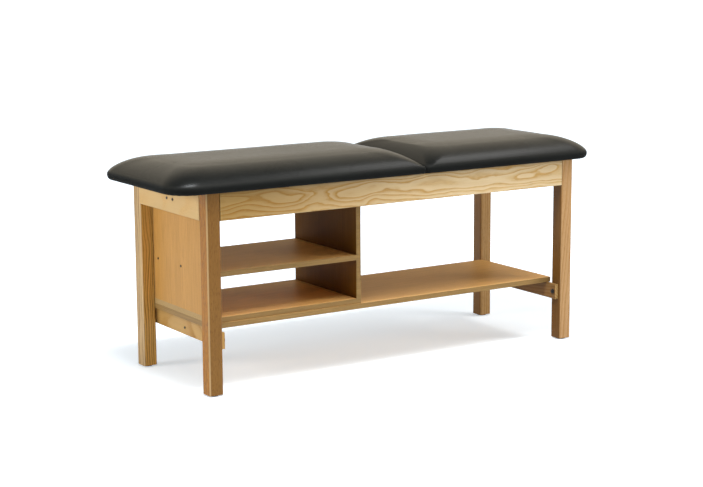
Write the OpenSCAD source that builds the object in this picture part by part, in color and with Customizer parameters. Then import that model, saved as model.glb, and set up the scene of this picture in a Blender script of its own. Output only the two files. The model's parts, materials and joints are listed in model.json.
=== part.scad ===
// Treatment table: hardwood frame, padded top in two sections, long lower shelf and an open
// storage unit under the foot half. The head section is a backrest that tilts up.
// Millimetres. +X is towards the head end, -Y is the front and +Z is up.
// The origin is on the floor, under the middle of the padded top.

/* [Top] */
// Length of the whole top
top_l = 1829; // [1600:1:2100]
// Width of the top
top_w = 610; // [590:1:760]
// Height of the crown of the top above the floor
table_h = 794; // [680:1:900]
// Thickness of the top, from its underside to its crown
pad_t = 87; // [62:1:100]
// Length of the backrest section
backrest_l = 801; // [720:1:860]
// Gap between the two sections
seam_gap = 5; // [4:0.5:8]
// Thickness of the plywood board in each section
board_t = 16; // [12:1:18]
// Thickness of the vinyl cover
vinyl_t = 1.2; // [0.8:0.1:1.6]
// Width of the vinyl that is turned in under a board
turn_in = 26; // [15:1:35]

/* [Shape of the upholstery] */
// Height of the widest line above the underside
edge_h = 22; // [20:1:28]
// How far the underside is drawn in from the widest line
edge_in = 14; // [8:1:18]
// Width of the slope at the outer end of a section
end_taper = 120; // [80:1:150]
// Width of the slope along the sides
side_taper = 128; // [80:1:140]
// Width of the slope at the seam
seam_taper = 80; // [70:1:100]
// Roundness of the slope at the ends and sides
slope_power = 1.7; // [1.3:0.05:2]
// Roundness of the slope at the seam
seam_power = 1.33; // [1.15:0.01:1.4]
// Rise of the crown over the rim of the plateau
crown_rise = 4; // [1:0.5:6]
// Corner radius of the widest line at the outer corners
corner_r = 99; // [70:1:120]
// Corner radius of the widest line at the seam
seam_r = 12; // [8:1:20]
// Corner radius of the plateau at the outer corners
plateau_r = 70; // [50:1:90]
// Corner radius of the plateau at the seam
plateau_seam_r = 92; // [60:1:110]

/* [Frame] */
// How far the top stands out past the legs at the foot
foot_overhang = 128.5; // [80:0.5:160]
// How far the top stands out past the legs at the head
head_overhang = 106.5; // [80:0.5:160]
// How far the top stands out past the legs at the sides
side_overhang = 22; // [18:0.5:30]
// Side of a leg's square section
leg_w = 54; // [50:1:60]
// Radius of a leg's upright edges
leg_round = 7; // [3:1:10]
// Height of a rail
rail_h = 97; // [90:1:110]
// Thickness of a rail
rail_t = 22; // [18:1:24]
// Size of the small chamfer along the edges of solid wood
ease = 1.5; // [0.5:0.5:3]
// Height of a glide under the leg
glide_h = 5; // [4:0.5:8]
// Diameter of a glide
glide_d = 38; // [30:1:46]
// Height of the cross rails under the top
cross_h = 57; // [45:1:64]
// Thickness of the cross rail beside the divider
cross_t = 22; // [18:1:26]
// Thickness of the cross rail under the seam
seam_rail_t = 46; // [36:1:56]
// Width of the flat spreader rail under the backrest
spreader_w = 70; // [50:1:90]
// Distance from the seam to the middle of the spreader rail
spreader_x = 320; // [280:1:380]
// Length of a corner block along a rail, from the leg's side
block_run = 60; // [50:1:64]

/* [Shelf] */
// Height of the long shelf's top
shelf_top = 240; // [200:1:300]
// Thickness of the laminate boards
shelf_t = 19; // [16:1:22]
// How far the shelf's ends stand past the inner faces of the legs
shelf_over = 7; // [0:0.5:12]
// Gap between the shelf's front edge and the front legs' inner faces
shelf_gap_front = 14; // [2:1:24]
// Gap between the shelf's rear edge and the rear legs' inner faces
shelf_gap_rear = 2; // [2:1:16]
// Height of a stretcher
stretcher_h = 59; // [50:1:80]
// Thickness of a stretcher
stretcher_t = 14; // [12:1:19]
// How far a stretcher's end stands back from the legs' outer faces
stretcher_in = 12; // [4:1:16]
// Thickness of the edge bands
band_t = 1; // [0.6:0.1:2]

/* [Storage unit] */
// Length of the unit, over its end panel and divider
unit_l = 619; // [500:1:660]
// How far the unit's front stands back from the shelf's front
unit_in_front = 5; // [2:1:12]
// How far the unit's rear stands in from the shelf's rear
unit_in_rear = 4; // [2:1:20]
// Height of the middle shelf's top above the floor
middle_top = 420; // [380:1:460]
// Gap between the unit's uprights and the board above them
unit_gap = 5; // [3:1:12]

/* [Hinge] */
// How far the hinge's ends stand in from the sides of the top
hinge_in = 25; // [20:1:60]
// Number of knuckles
knuckle_n = 14; // [8:2:20]
// Thickness of a leaf
leaf_t = 0.9; // [0.7:0.1:1.1]
// Radius of the hinge pin
pin_r = 1.2; // [1:0.05:1.25]
// Number of screws in each leaf
leaf_screw_n = 7; // [4:1:9]

/* [Backrest prop] */
// Highest tilt of the backrest in degrees
tilt_max = 65; // [50:1:66]
// Distance from the head legs' inner faces to the prop's foot when the backrest is down
prop_gap = 63; // [50:1:140]
// Distance from the hinge axis down to the prop's pivot
prop_drop = 50; // [46:1:54]
// Radius of the prop's rod
rod_r = 5; // [4:0.5:6]
// Distance from a side rail's inner face to the prop's arm
arm_in = 36; // [34:1:60]
// Thickness of a rack
rack_t = 4; // [3:0.5:4]
// Lowest tilt that the racks hold, in degrees
tilt_first = 20; // [16:1:26]
// Number of notches in a rack
notch_n = 6; // [4:1:8]
// Depth of a notch
notch_d = 7; // [5:0.5:9]

/* [Screws] */
// Radius of a wood screw
screw_r = 2; // [1.5:0.1:2.5]
// Radius of a wood screw's head
head_r = 4; // [3.5:0.1:5]
// Radius of a glide's nail
nail_r = 1.5; // [1:0.1:2]
// Radius of a bolt
bolt_r = 4; // [3:0.5:4.5]
// Radius of a dowel
dowel_r = 5; // [4:0.5:6]
// Length of a dowel
dowel_l = 50; // [30:1:50]

/* [Hidden] */
$fn = 48;

// Running clearance of a pin, and free clearance of a fastener, on the radius
run_gap = 0.05;
fit_gap = 0.1;
// Smallest gap between pieces that stand next to each other without touching
air = 0.3;

ash = [0.86, 0.72, 0.50];
leg_ash = [0.72, 0.54, 0.34];
laminate = [0.62, 0.42, 0.28];
panel_tan = [0.80, 0.58, 0.36];
band_tan = [0.74, 0.58, 0.38];
plywood = [0.80, 0.66, 0.46];
foam_grey = [0.55, 0.55, 0.52];
vinyl_black = [0.10, 0.10, 0.10];
steel = [0.62, 0.63, 0.65];
dark_steel = [0.16, 0.16, 0.17];
glide_black = [0.08, 0.08, 0.08];

// Heights and lengths that follow from the sizes above
frame_l = top_l - foot_overhang - head_overhang;
frame_w = top_w - 2 * side_overhang;
frame_shift = (foot_overhang - head_overhang) / 2;
underside = table_h - pad_t;
widest = underside + edge_h;
rail_z = underside - rail_h;
seam_x = top_l / 2 - backrest_l - seam_gap / 2;
foot_seam_x = seam_x - seam_gap / 2;
back_seam_x = seam_x + seam_gap / 2;
leg_in_x = frame_l / 2 - leg_w;
leg_in_y = frame_w / 2 - leg_w;
rail_in_x = frame_l / 2 - rail_t;
rail_in_y = frame_w / 2 - rail_t;
foot_leg_x = frame_shift - leg_in_x;
head_leg_x = frame_shift + leg_in_x;

// Long shelf and stretchers
shelf_z = shelf_top - shelf_t;
shelf_x0 = frame_shift - leg_in_x - shelf_over;
shelf_x1 = frame_shift + leg_in_x + shelf_over;
shelf_y0 = shelf_gap_front - leg_in_y;
shelf_y1 = leg_in_y - shelf_gap_rear;
stretcher_z = shelf_z - stretcher_h;
stretcher_y = frame_w / 2 - stretcher_in;
bolt_z = stretcher_z + stretcher_h / 2;

// Storage unit
unit_x0 = shelf_x0;
unit_x1 = unit_x0 + unit_l;
unit_y0 = shelf_y0 + unit_in_front;
unit_y1 = shelf_y1 - unit_in_rear;
unit_mid_y = (unit_y0 + unit_y1) / 2;
unit_floor = shelf_top + shelf_t;
unit_top = underside - unit_gap;
unit_in_x0 = unit_x0 + shelf_t;
unit_in_x1 = unit_x1 - shelf_t;
middle_z = middle_top - shelf_t;
unit_dowel_l = 28;
unit_dowel_in = 50;
unit_screw_in = 37;
base_screw_in = 60;
side_screw_pitch = 240;
shelf_bite = 28;
base_bite = 12;
upright_bite = 15;

// Spacer between the foot end rail and the unit, and the screws near the unit's top
spacer_y = -12;
spacer_w = 90;
spacer_h = 60;
spacer_pitch = 44;
spacer_mid_z = rail_z + rail_h / 2;
unit_screw_z = underside - cross_h / 2;

// Dowels at the ends of the cross rails, blind in the side rails
cross_dowel_l = 24;

// Nail of a glide
nail_l = 25;

// Steel angles
angle_w = 30;
angle_t = 2.5;
angle_leg = 32;
angle_bolt_z = shelf_z - angle_leg - 1.5;
angle_first = 130;
angle_second = 380;
angle_last = 70;
angle_xs = [unit_x0 + angle_first, unit_x0 + angle_second, seam_x - angle_last];
angle_screw_l = 13;

// Hinge
hinge_l = top_w - 2 * hinge_in;
hinge_z = widest;
knuckle_r = seam_gap / 2 - air;
knuckle_l = hinge_l / knuckle_n;
knuckle_gap = 0.4;
leaf_z0 = underside + 2;
leaf_screw_z = underside + board_t / 2;
leaf_head_h = 0.8;
leaf_screw_r = 1.5;
leaf_screw_l = 22;
leaf_pitch = hinge_l / leaf_screw_n;

// Prop: the place of its foot at a tilt, and the line of the notch tips under its path
prop_reach = (head_leg_x - prop_gap - seam_x) / 2;
pivot_x = seam_x + prop_reach;
pivot_z = hinge_z - prop_drop;
function foot_x(tilt) = seam_x + 2 * prop_reach * cos(tilt) + prop_drop * sin(tilt);
function foot_z(tilt) = hinge_z - prop_drop * cos(tilt);
foot_arm = norm([2 * prop_reach, prop_drop]);
function tilt_at(x) = atan2(prop_drop, 2 * prop_reach) + acos((x - seam_x) / foot_arm);
function tip(x) = [x, foot_z(tilt_at(x)) - rod_r - air];
arm_y = rail_in_y - arm_in;
rack_h = 29;
rack_tail = 22;
rack_nose = 13;
rack_screw_in = 20;
rack_screw_up = 9;
rack_bite = 13;
rack_z0 = foot_z(0) - rod_r - rack_h;
rack_rest_z = foot_z(0) - rod_r - air;
rack_x0 = foot_x(tilt_max) - rack_tail;
rack_x1 = foot_x(0) + rack_nose;
rack_xs = [rack_x0 + rack_screw_in, (rack_x0 + rack_x1) / 2, rack_x1 - rack_screw_in];
rack_screw_z = rack_z0 + rack_screw_up;
foot_rod_gap = 0.5;
foot_rod_y = rail_in_y - foot_rod_gap;
bend_r = 12;
ear_t = 3;
ear_gap = 3;
ear_y = arm_y + bend_r + ear_gap;
clip_t = 1.5;
clip_rim = 4;
bracket_w = 40;
bracket_in = 14;
bracket_bite = 12;

// Corner blocks under the racks' noses, and the bolts through them
block_up = 3;
block_under_rack = 2;
block_z = rail_z + block_up;
block_h = rack_z0 - block_under_rack - block_z;
block_mid_z = block_z + block_h / 2;
block_cut = leg_in_x + rail_in_y - block_run;
block_depth = (leg_in_x + leg_in_y - block_cut) / sqrt(2);
leg_bite = 35;

// Upholstery: number of steps in a corner, in the rounded edge and in the slope
corner_n = 6;
edge_n = 3;
slope_n = 7;
// How far the crown's last ring stands in from the rim of the plateau, and how its corners tighten
crown_in = 95;
crown_tighten = 60;
board_in = edge_in + vinyl_t + 0.8;
board_seam_in = vinyl_t + 1.5;

// An outline with rounded corners, counter-clockwise: radius ra at xa and rb at xb
function corner(cx, cy, r, a0) =
    [for (i = [0 : corner_n]) [cx + r * cos(a0 + 90 * i / corner_n), cy + r * sin(a0 + 90 * i / corner_n)]];
function outline(xa, xb, hy, ra, rb) = concat(
    corner(xb - rb, hy - rb, rb, 0), corner(xa + ra, hy - ra, ra, 90),
    corner(xa + ra, ra - hy, ra, 180), corner(xb - rb, rb - hy, rb, 270));

// A level of a section: [z, inset at the end, at the sides, at the seam, outer radius, seam radius]
function level_outline(is_foot, v) = is_foot
    ? outline(v[1] - top_l / 2, foot_seam_x - v[3], top_w / 2 - v[2], v[4], v[5])
    : outline(back_seam_x + v[3], top_l / 2 - v[1], top_w / 2 - v[2], v[5], v[4]);
function slope_h(a) = pow(sin(a), 2 / slope_power);
function slope_d(a) = 1 - pow(cos(a), 2 / slope_power);
function slope_s(a) = 1 - pow(1 - pow(slope_h(a), seam_power), 1 / seam_power);
function mix(a, b, k) = a + (b - a) * k;

// The levels of the cover's outer face from its bottom edge up, shrunk by t towards the inside
function edge_levels(t) = [for (i = [0 : edge_n])
    let (a = 90 * i / edge_n, in = edge_in * (1 - sin(a)))
    [underside + edge_h * (1 - cos(a)) + t * cos(a), in + t, in + t, t, corner_r - in - t, seam_r - t]];
function slope_levels(t) = [for (i = [1 : slope_n])
    let (a = 90 * i / slope_n, d = slope_d(a))
    [mix(widest, table_h - crown_rise, slope_h(a)) - t * slope_h(a),
     end_taper * d + t, side_taper * d + t, seam_taper * slope_s(a) + t,
     mix(corner_r, plateau_r, d) - t, mix(seam_r, plateau_seam_r, d) - t]];
function crown_levels(t) = [for (k = [0.4, 1])
    [table_h - crown_rise * (1 - k) * (1 - k) - t,
     end_taper + crown_in * k + t, side_taper + crown_in * k + t, seam_taper + crown_in * k + t,
     max(plateau_r - crown_tighten * k - t, 4), max(plateau_seam_r - crown_tighten * k - t, 4)]];
function skin_levels(t) = concat(edge_levels(t), slope_levels(t), crown_levels(t));
function turned_level(z) = [z, edge_in + turn_in, edge_in + turn_in, turn_in,
    corner_r - edge_in - turn_in, 2];
function board_level(z, more) = [z, board_in + more, board_in + more, board_seam_in + more,
    corner_r - board_in - more, max(seam_r - board_seam_in - more, 2)];
function reversed(v) = [for (i = [len(v) - 1 : -1 : 0]) v[i]];

// A closed skin through a stack of levels, with a flat cap on the first and on the last
module stack(is_foot, levels) {
    rings = [for (v = levels) [for (p = level_outline(is_foot, v)) [p[0], p[1], v[0]]]];
    n = len(rings[0]);
    points = [for (ring = rings, p = ring) p];
    sides = [for (i = [0 : len(rings) - 2], j = [0 : n - 1])
        let (k = (j + 1) % n, a = i * n, b = (i + 1) * n)
        each [[a + j, b + j, b + k], [a + j, b + k, a + k]]];
    last = (len(rings) - 1) * n;
    polyhedron(points, concat([[for (j = [0 : n - 1]) j]], sides, [[for (j = [n - 1 : -1 : 0]) last + j]]));
}

// A bar with a rectangular section and small chamfers, between two corners, along X or Y
function eased(a, b, e) = [[a[0] + e, a[1]], [b[0] - e, a[1]], [b[0], a[1] + e], [b[0], b[1] - e],
    [b[0] - e, b[1]], [a[0] + e, b[1]], [a[0], b[1] - e], [a[0], a[1] + e]];
module bar_x(lo, hi, e = ease) {
    translate([lo[0], 0, 0])
        rotate([90, 0, 90])
            linear_extrude(hi[0] - lo[0])
                polygon(eased([lo[1], lo[2]], [hi[1], hi[2]], e));
}
module bar_y(lo, hi, e = ease) {
    translate([0, hi[1], 0])
        rotate([90, 0, 0])
            linear_extrude(hi[1] - lo[1])
                polygon(eased([lo[0], lo[2]], [hi[0], hi[2]], e));
}
module block(lo, hi) {
    translate(lo)
        cube(hi - lo);
}
// A child on its Z axis is turned to point along +X, -X, +Y or -Y
module to_x(sign = 1) {
    rotate([0, 90 * sign, 0])
        children();
}
module to_y(sign = 1) {
    rotate([-90 * sign, 0, 0])
        children();
}

// Fasteners stand with the seat of the head at z = 0 and the shank towards +Z
module wood_screw(l, r = screw_r, head = head_r, head_h = 2) {
    translate([0, 0, -head_h])
        cylinder(h = head_h, r = head);
    cylinder(h = l - 2 * r, r = r);
    translate([0, 0, l - 2 * r])
        cylinder(h = 2 * r, r1 = r, r2 = 0.4);
}
module screw_hole(l, r = screw_r) {
    translate([0, 0, -1])
        cylinder(h = l + 1.5, r = r + fit_gap);
}
module hex(across, h) {
    cylinder(h = h, d = across / cos(30), $fn = 6);
}

// Places of the fasteners, shared by the pieces that they join
module at_legs() {
    for (sx = [-1, 1], sy = [-1, 1])
        translate([frame_shift + sx * (frame_l - leg_w) / 2, sy * (frame_w - leg_w) / 2, 0])
            children();
}
module at_leg_bolts() {
    for (sy = [-1, 1])
        translate([head_leg_x, sy * leg_in_y, block_mid_z])
            rotate([0, 0, sy * 45])
                to_x()
                    children();
}
module at_stretcher_bolts() {
    for (sx = [-1, 1], sy = [-1, 1])
        translate([frame_shift + sx * (leg_in_x - stretcher_t), sy * (frame_w - leg_w) / 2, bolt_z])
            to_x(sx)
                children();
}
module at_dowels() {
    for (z = [rail_z + rail_h * 0.25, rail_z + rail_h * 0.75], sx = [-1, 1], sy = [-1, 1]) {
        translate([frame_shift + sx * leg_in_x, sy * (frame_w - rail_t) / 2, z])
            to_x()
                children();
        translate([frame_shift + sx * (frame_l - rail_t) / 2, sy * leg_in_y, z])
            to_y()
                children();
    }
}
module at_cross_dowels() {
    for (sy = [-1, 1]) {
        for (x = [unit_x1 + cross_t / 2, seam_x], z = [0.25, 0.75])
            translate([x, sy * rail_in_y, underside - cross_h * z])
                to_y(sy)
                    children();
        for (s = [-1, 1])
            translate([seam_x + spreader_x + s * spreader_w / 4, sy * rail_in_y, rail_z + rail_t / 2])
                to_y(sy)
                    children();
    }
}
module cross_dowel_holes() {
    at_cross_dowels()
        translate([0, 0, -cross_dowel_l / 2 - 0.5])
            cylinder(h = cross_dowel_l + 1, r = dowel_r * 0.8 + fit_gap);
}
module at_shelf_angles() {
    for (sx = [-1, 1])
        translate([frame_shift + sx * leg_in_x, 0, 0])
            rotate([0, 0, sx < 0 ? 0 : 180])
                children();
}
module at_unit_shelf_screws() {
    for (y = [unit_y0 + unit_screw_in, unit_mid_y, unit_y1 - unit_screw_in]) {
        translate([unit_x0, y, middle_z + shelf_t / 2])
            to_x()
                children();
        translate([unit_x1, y, middle_z + shelf_t / 2])
            to_x(-1)
                children();
    }
}
module at_unit_base_screws() {
    for (x = [unit_x0 + base_screw_in, unit_x1 - base_screw_in],
         y = [unit_y0 + base_screw_in, unit_y1 - base_screw_in])
        translate([x, y, shelf_z])
            children();
}
module at_unit_dowels() {
    for (x = [unit_x0 + shelf_t / 2, unit_x1 - shelf_t / 2],
         y = [unit_y0 + unit_dowel_in, unit_mid_y, unit_y1 - unit_dowel_in])
        translate([x, y, unit_floor - unit_dowel_l / 2])
            children();
}
module at_end_rail_screws() {
    for (s = [-1, 1])
        translate([frame_shift - frame_l / 2, spacer_y + s * spacer_pitch / 2, spacer_mid_z])
            to_x()
                children();
}
module at_unit_top_screws() {
    for (s = [-1, 1]) {
        translate([unit_in_x0, spacer_y + s * spacer_pitch * 0.8, spacer_mid_z])
            to_x(-1)
                children();
        translate([unit_in_x1, unit_mid_y + s * side_screw_pitch / 2, unit_screw_z])
            to_x()
                children();
    }
}
module at_top_angles() {
    for (x = angle_xs, sy = [-1, 1])
        translate([x, sy * rail_in_y, underside])
            rotate([0, 0, sy < 0 ? 0 : 180])
                children();
}
// Screws of the hinge leaves: side -1 is the fixed leaf, 1 the moving leaf, half a step apart
module at_leaf_screws(side) {
    for (i = [0 : leaf_screw_n - 1])
        translate([seam_x + side * (knuckle_r - leaf_t),
                   (i + 0.5 + side * 0.2) * leaf_pitch - hinge_l / 2, leaf_screw_z])
            to_x(side)
                children();
}
module at_rack_screws(sy) {
    for (x = rack_xs)
        translate([x, sy * (rail_in_y - rack_t), rack_screw_z])
            to_y(sy)
                children();
}
module at_bracket_screws() {
    for (sy = [-1, 1], s = [-1, 1])
        translate([pivot_x + s * bracket_w * 0.3, sy * (arm_y - 4), underside - ear_t])
            children();
}

// Legs, with holes for the dowels, the corner bolts, the stretcher bolts and the glide nails
module rounded_square(w, r) {
    square([w, w - 2 * r], center = true);
    square([w - 2 * r, w], center = true);
    for (sx = [-1, 1], sy = [-1, 1])
        translate([sx * (w / 2 - r), sy * (w / 2 - r)])
            circle(r = r);
}
module leg(sx, sy) {
    color(leg_ash)
        difference() {
            translate([frame_shift + sx * (frame_l - leg_w) / 2, sy * (frame_w - leg_w) / 2, glide_h])
                linear_extrude(underside - glide_h)
                    rounded_square(leg_w, leg_round);
            at_dowels()
                translate([0, 0, -dowel_l / 2 - 0.5])
                    cylinder(h = dowel_l + 1, r = dowel_r + fit_gap);
            at_leg_bolts()
                translate([0, 0, -10])
                    cylinder(h = leg_bite + 11, r = bolt_r + fit_gap);
            at_stretcher_bolts()
                cylinder(h = stretcher_t + leg_bite + 1, r = bolt_r + fit_gap);
            at_legs()
                cylinder(h = nail_l + 2, r = nail_r + fit_gap);
        }
}
module leg_foot_front() {
    leg(-1, -1);
}
module leg_foot_rear() {
    leg(-1, 1);
}
module leg_head_front() {
    leg(1, -1);
}
module leg_head_rear() {
    leg(1, 1);
}

// Rails between the legs, flush with their outer faces
module side_rail(sy) {
    y = [sy * rail_in_y, sy * frame_w / 2];
    color(ash)
        difference() {
            bar_x([foot_leg_x, min(y), rail_z], [head_leg_x, max(y), underside]);
            at_dowels()
                translate([0, 0, -dowel_l / 2 - 0.5])
                    cylinder(h = dowel_l + 1, r = dowel_r + fit_gap);
            cross_dowel_holes();
            at_rack_screws(sy)
                screw_hole(rack_t + rack_bite);
            at_top_angles()
                translate([0, 0, -angle_leg * 0.6])
                    to_y(-1)
                        screw_hole(angle_screw_l);
        }
}
module front_rail() {
    side_rail(-1);
}
module rear_rail() {
    side_rail(1);
}
module end_rail(sx) {
    x = [frame_shift + sx * rail_in_x, frame_shift + sx * frame_l / 2];
    bar_y([min(x), -leg_in_y, rail_z], [max(x), leg_in_y, underside]);
}
module foot_end_rail() {
    color(ash)
        difference() {
            end_rail(-1);
            at_dowels()
                translate([0, 0, -dowel_l / 2 - 0.5])
                    cylinder(h = dowel_l + 1, r = dowel_r + fit_gap);
            at_end_rail_screws()
                screw_hole(rail_t);
        }
}
module head_end_rail() {
    color(ash)
        difference() {
            end_rail(1);
            at_dowels()
                translate([0, 0, -dowel_l / 2 - 0.5])
                    cylinder(h = dowel_l + 1, r = dowel_r + fit_gap);
        }
}

// Cross rails between the side rails
module unit_cross_rail() {
    color(ash)
        difference() {
            bar_y([unit_x1, -rail_in_y, underside - cross_h], [unit_x1 + cross_t, rail_in_y, underside]);
            cross_dowel_holes();
            at_unit_top_screws()
                screw_hole(shelf_t + upright_bite);
        }
}
module seam_rail() {
    color(ash)
        difference() {
            bar_y([seam_x - seam_rail_t / 2, -rail_in_y, underside - cross_h],
                  [seam_x + seam_rail_t / 2, rail_in_y, underside]);
            cross_dowel_holes();
        }
}
module spreader_rail() {
    color(ash)
        difference() {
            bar_y([seam_x + spreader_x - spreader_w / 2, -rail_in_y, rail_z],
                  [seam_x + spreader_x + spreader_w / 2, rail_in_y, rail_z + rail_t]);
            cross_dowel_holes();
        }
}
module cross_dowels() {
    color(plywood)
        at_cross_dowels()
            translate([0, 0, -cross_dowel_l / 2])
                cylinder(h = cross_dowel_l, r = dowel_r * 0.8);
}

// Blocks across the corners at the head, notched round the legs, with a bolt into each leg
module corner_blocks() {
    color(plywood)
        difference() {
            for (sy = [-1, 1])
                translate([frame_shift, 0, block_z])
                    mirror([0, sy < 0 ? 1 : 0, 0])
                        linear_extrude(block_h)
                            polygon([[leg_in_x, leg_in_y], [rail_in_x, leg_in_y],
                                     [rail_in_x, block_cut - rail_in_x],
                                     [block_cut - rail_in_y, rail_in_y],
                                     [leg_in_x, rail_in_y]]);
            at_leg_bolts()
                translate([0, 0, -block_depth - 10])
                    cylinder(h = block_depth + 20, r = bolt_r + fit_gap);
        }
}
module rail_dowels() {
    color(plywood)
        at_dowels()
            translate([0, 0, -dowel_l / 2])
                cylinder(h = dowel_l, r = dowel_r);
}
module leg_bolts() {
    color(steel)
        at_leg_bolts()
            translate([0, 0, -block_depth - 12])
                cylinder(h = block_depth + 12 + leg_bite, r = bolt_r);
}
module leg_bolt_nuts() {
    color(steel)
        at_leg_bolts()
            translate([0, 0, -block_depth])
                difference() {
                    union() {
                        translate([0, 0, -1.5])
                            cylinder(h = 1.5, r = bolt_r * 2.4);
                        translate([0, 0, -8])
                            hex(bolt_r * 3.2, 6.5);
                    }
                    translate([0, 0, -9])
                        cylinder(h = 10, r = bolt_r + run_gap);
                }
}

// Stretchers on the inner faces of the legs
module stretcher(sx) {
    x = [frame_shift + sx * leg_in_x, frame_shift + sx * (leg_in_x - stretcher_t)];
    color(ash)
        difference() {
            bar_y([min(x), -stretcher_y, stretcher_z], [max(x), stretcher_y, shelf_z]);
            at_stretcher_bolts()
                translate([0, 0, -1])
                    cylinder(h = stretcher_t + 2, r = bolt_r + fit_gap);
            at_shelf_angles()
                translate([-1, 0, angle_bolt_z])
                    to_x()
                        cylinder(h = stretcher_t + 2, r = screw_r * 1.5 + fit_gap);
        }
}
module foot_stretcher() {
    stretcher(-1);
}
module head_stretcher() {
    stretcher(1);
}
module stretcher_bolts() {
    color(dark_steel)
        at_stretcher_bolts() {
            cylinder(h = stretcher_t + leg_bite, r = bolt_r);
            translate([0, 0, -1.5])
                cylinder(h = 1.5, r = bolt_r * 2.2);
            translate([0, 0, -6])
                hex(bolt_r * 3, 4.5);
        }
}

// Long shelf: a core and its edge bands
module banded(lo, hi, ends) {
    dx = ends ? band_t : 0;
    block(lo + [dx, band_t, 0], hi - [dx, band_t, 0]);
}
module bands(lo, hi, ends) {
    dx = ends ? band_t : 0;
    block(lo, [hi[0], lo[1] + band_t, hi[2]]);
    block([lo[0], hi[1] - band_t, lo[2]], hi);
    if (ends) {
        block([lo[0], lo[1] + band_t, lo[2]], [lo[0] + dx, hi[1] - band_t, hi[2]]);
        block([hi[0] - dx, lo[1] + band_t, lo[2]], [hi[0], hi[1] - band_t, hi[2]]);
    }
}
long_lo = [shelf_x0, shelf_y0, shelf_z];
long_hi = [shelf_x1, shelf_y1, shelf_top];
module long_shelf() {
    color(laminate)
        difference() {
            banded(long_lo, long_hi, true);
            at_unit_base_screws()
                screw_hole(shelf_t);
            at_shelf_angles()
                translate([stretcher_t + angle_leg * 0.65, 0, shelf_z - angle_t])
                    screw_hole(angle_screw_l);
        }
}
module long_shelf_bands() {
    color(band_tan)
        bands(long_lo, long_hi, true);
}
module shelf_angles() {
    color(steel)
        difference() {
            at_shelf_angles()
                union() {
                    block([stretcher_t, -angle_w / 2, shelf_z - angle_leg - 8],
                          [stretcher_t + angle_t, angle_w / 2, shelf_z]);
                    block([stretcher_t, -angle_w / 2, shelf_z - angle_t],
                          [stretcher_t + angle_leg, angle_w / 2, shelf_z]);
                }
            at_shelf_angles() {
                translate([stretcher_t - 1, 0, angle_bolt_z])
                    to_x()
                        cylinder(h = angle_t + 2, r = screw_r * 1.5 + fit_gap);
                translate([stretcher_t + angle_leg * 0.65, 0, shelf_z - angle_t])
                    screw_hole(angle_t);
            }
        }
}
module shelf_angle_bolts() {
    color(dark_steel)
        at_shelf_angles() {
            translate([0, 0, angle_bolt_z])
                to_x() {
                    cylinder(h = stretcher_t + angle_t + 6, r = screw_r * 1.5);
                    translate([0, 0, -2])
                        cylinder(h = 2, r = head_r);
                    translate([0, 0, stretcher_t + angle_t])
                        hex(9, 4);
                }
            translate([stretcher_t + angle_leg * 0.65, 0, shelf_z - angle_t])
                wood_screw(angle_screw_l);
        }
}

// Storage unit: bottom board, end panel, divider and middle shelf
base_lo = [unit_x0, unit_y0, shelf_top];
base_hi = [unit_x1, unit_y1, unit_floor];
panel_lo = [unit_x0, unit_y0, unit_floor];
panel_hi = [unit_in_x0, unit_y1, unit_top];
divider_lo = [unit_in_x1, unit_y0, unit_floor];
divider_hi = [unit_x1, unit_y1, unit_top];
middle_lo = [unit_in_x0, unit_y0, middle_z];
middle_hi = [unit_in_x1, unit_y1, middle_top];
module unit_dowel_holes() {
    at_unit_dowels()
        translate([0, 0, -0.5])
            cylinder(h = unit_dowel_l + 1, r = dowel_r * 0.8 + fit_gap);
}
module unit_base() {
    color(laminate)
        difference() {
            banded(base_lo, base_hi, false);
            unit_dowel_holes();
            at_unit_base_screws()
                screw_hole(shelf_t + base_bite);
        }
}
module unit_end_panel() {
    color(panel_tan)
        difference() {
            banded(panel_lo, panel_hi, false);
            unit_dowel_holes();
            at_unit_shelf_screws()
                screw_hole(shelf_t);
            at_unit_top_screws()
                screw_hole(shelf_t);
        }
}
module unit_divider() {
    color(laminate)
        difference() {
            banded(divider_lo, divider_hi, false);
            unit_dowel_holes();
            at_unit_shelf_screws()
                screw_hole(shelf_t);
            at_unit_top_screws()
                screw_hole(shelf_t);
        }
}
module unit_middle_shelf() {
    color(laminate)
        difference() {
            banded(middle_lo, middle_hi, false);
            at_unit_shelf_screws()
                screw_hole(shelf_t + shelf_bite);
        }
}
module unit_bands() {
    color(band_tan) {
        bands(base_lo, base_hi, false);
        bands(panel_lo, panel_hi, false);
        bands(divider_lo, divider_hi, false);
        bands(middle_lo, middle_hi, false);
    }
}
module unit_shelf_screws() {
    color(dark_steel)
        at_unit_shelf_screws()
            wood_screw(shelf_t + shelf_bite, head_h = 1.5);
}
module unit_base_screws() {
    color(dark_steel)
        at_unit_base_screws()
            wood_screw(shelf_t + base_bite);
}
module unit_top_screws() {
    color(dark_steel)
        at_unit_top_screws()
            wood_screw(shelf_t + upright_bite);
}
module unit_dowels() {
    color(plywood)
        at_unit_dowels()
            cylinder(h = unit_dowel_l, r = dowel_r * 0.8);
}

// Spacer between the foot end rail and the unit's end panel, with its two screws
module end_rail_spacer() {
    color(ash)
        difference() {
            bar_y([frame_shift - rail_in_x, spacer_y - spacer_w / 2, spacer_mid_z - spacer_h / 2],
                  [unit_x0, spacer_y + spacer_w / 2, spacer_mid_z + spacer_h / 2]);
            at_end_rail_screws()
                screw_hole(rail_t + upright_bite);
            at_unit_top_screws()
                screw_hole(shelf_t + upright_bite);
        }
}
module end_rail_screws() {
    color(dark_steel)
        at_end_rail_screws()
            wood_screw(rail_t + upright_bite, head = head_r + 0.5);
}

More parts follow.
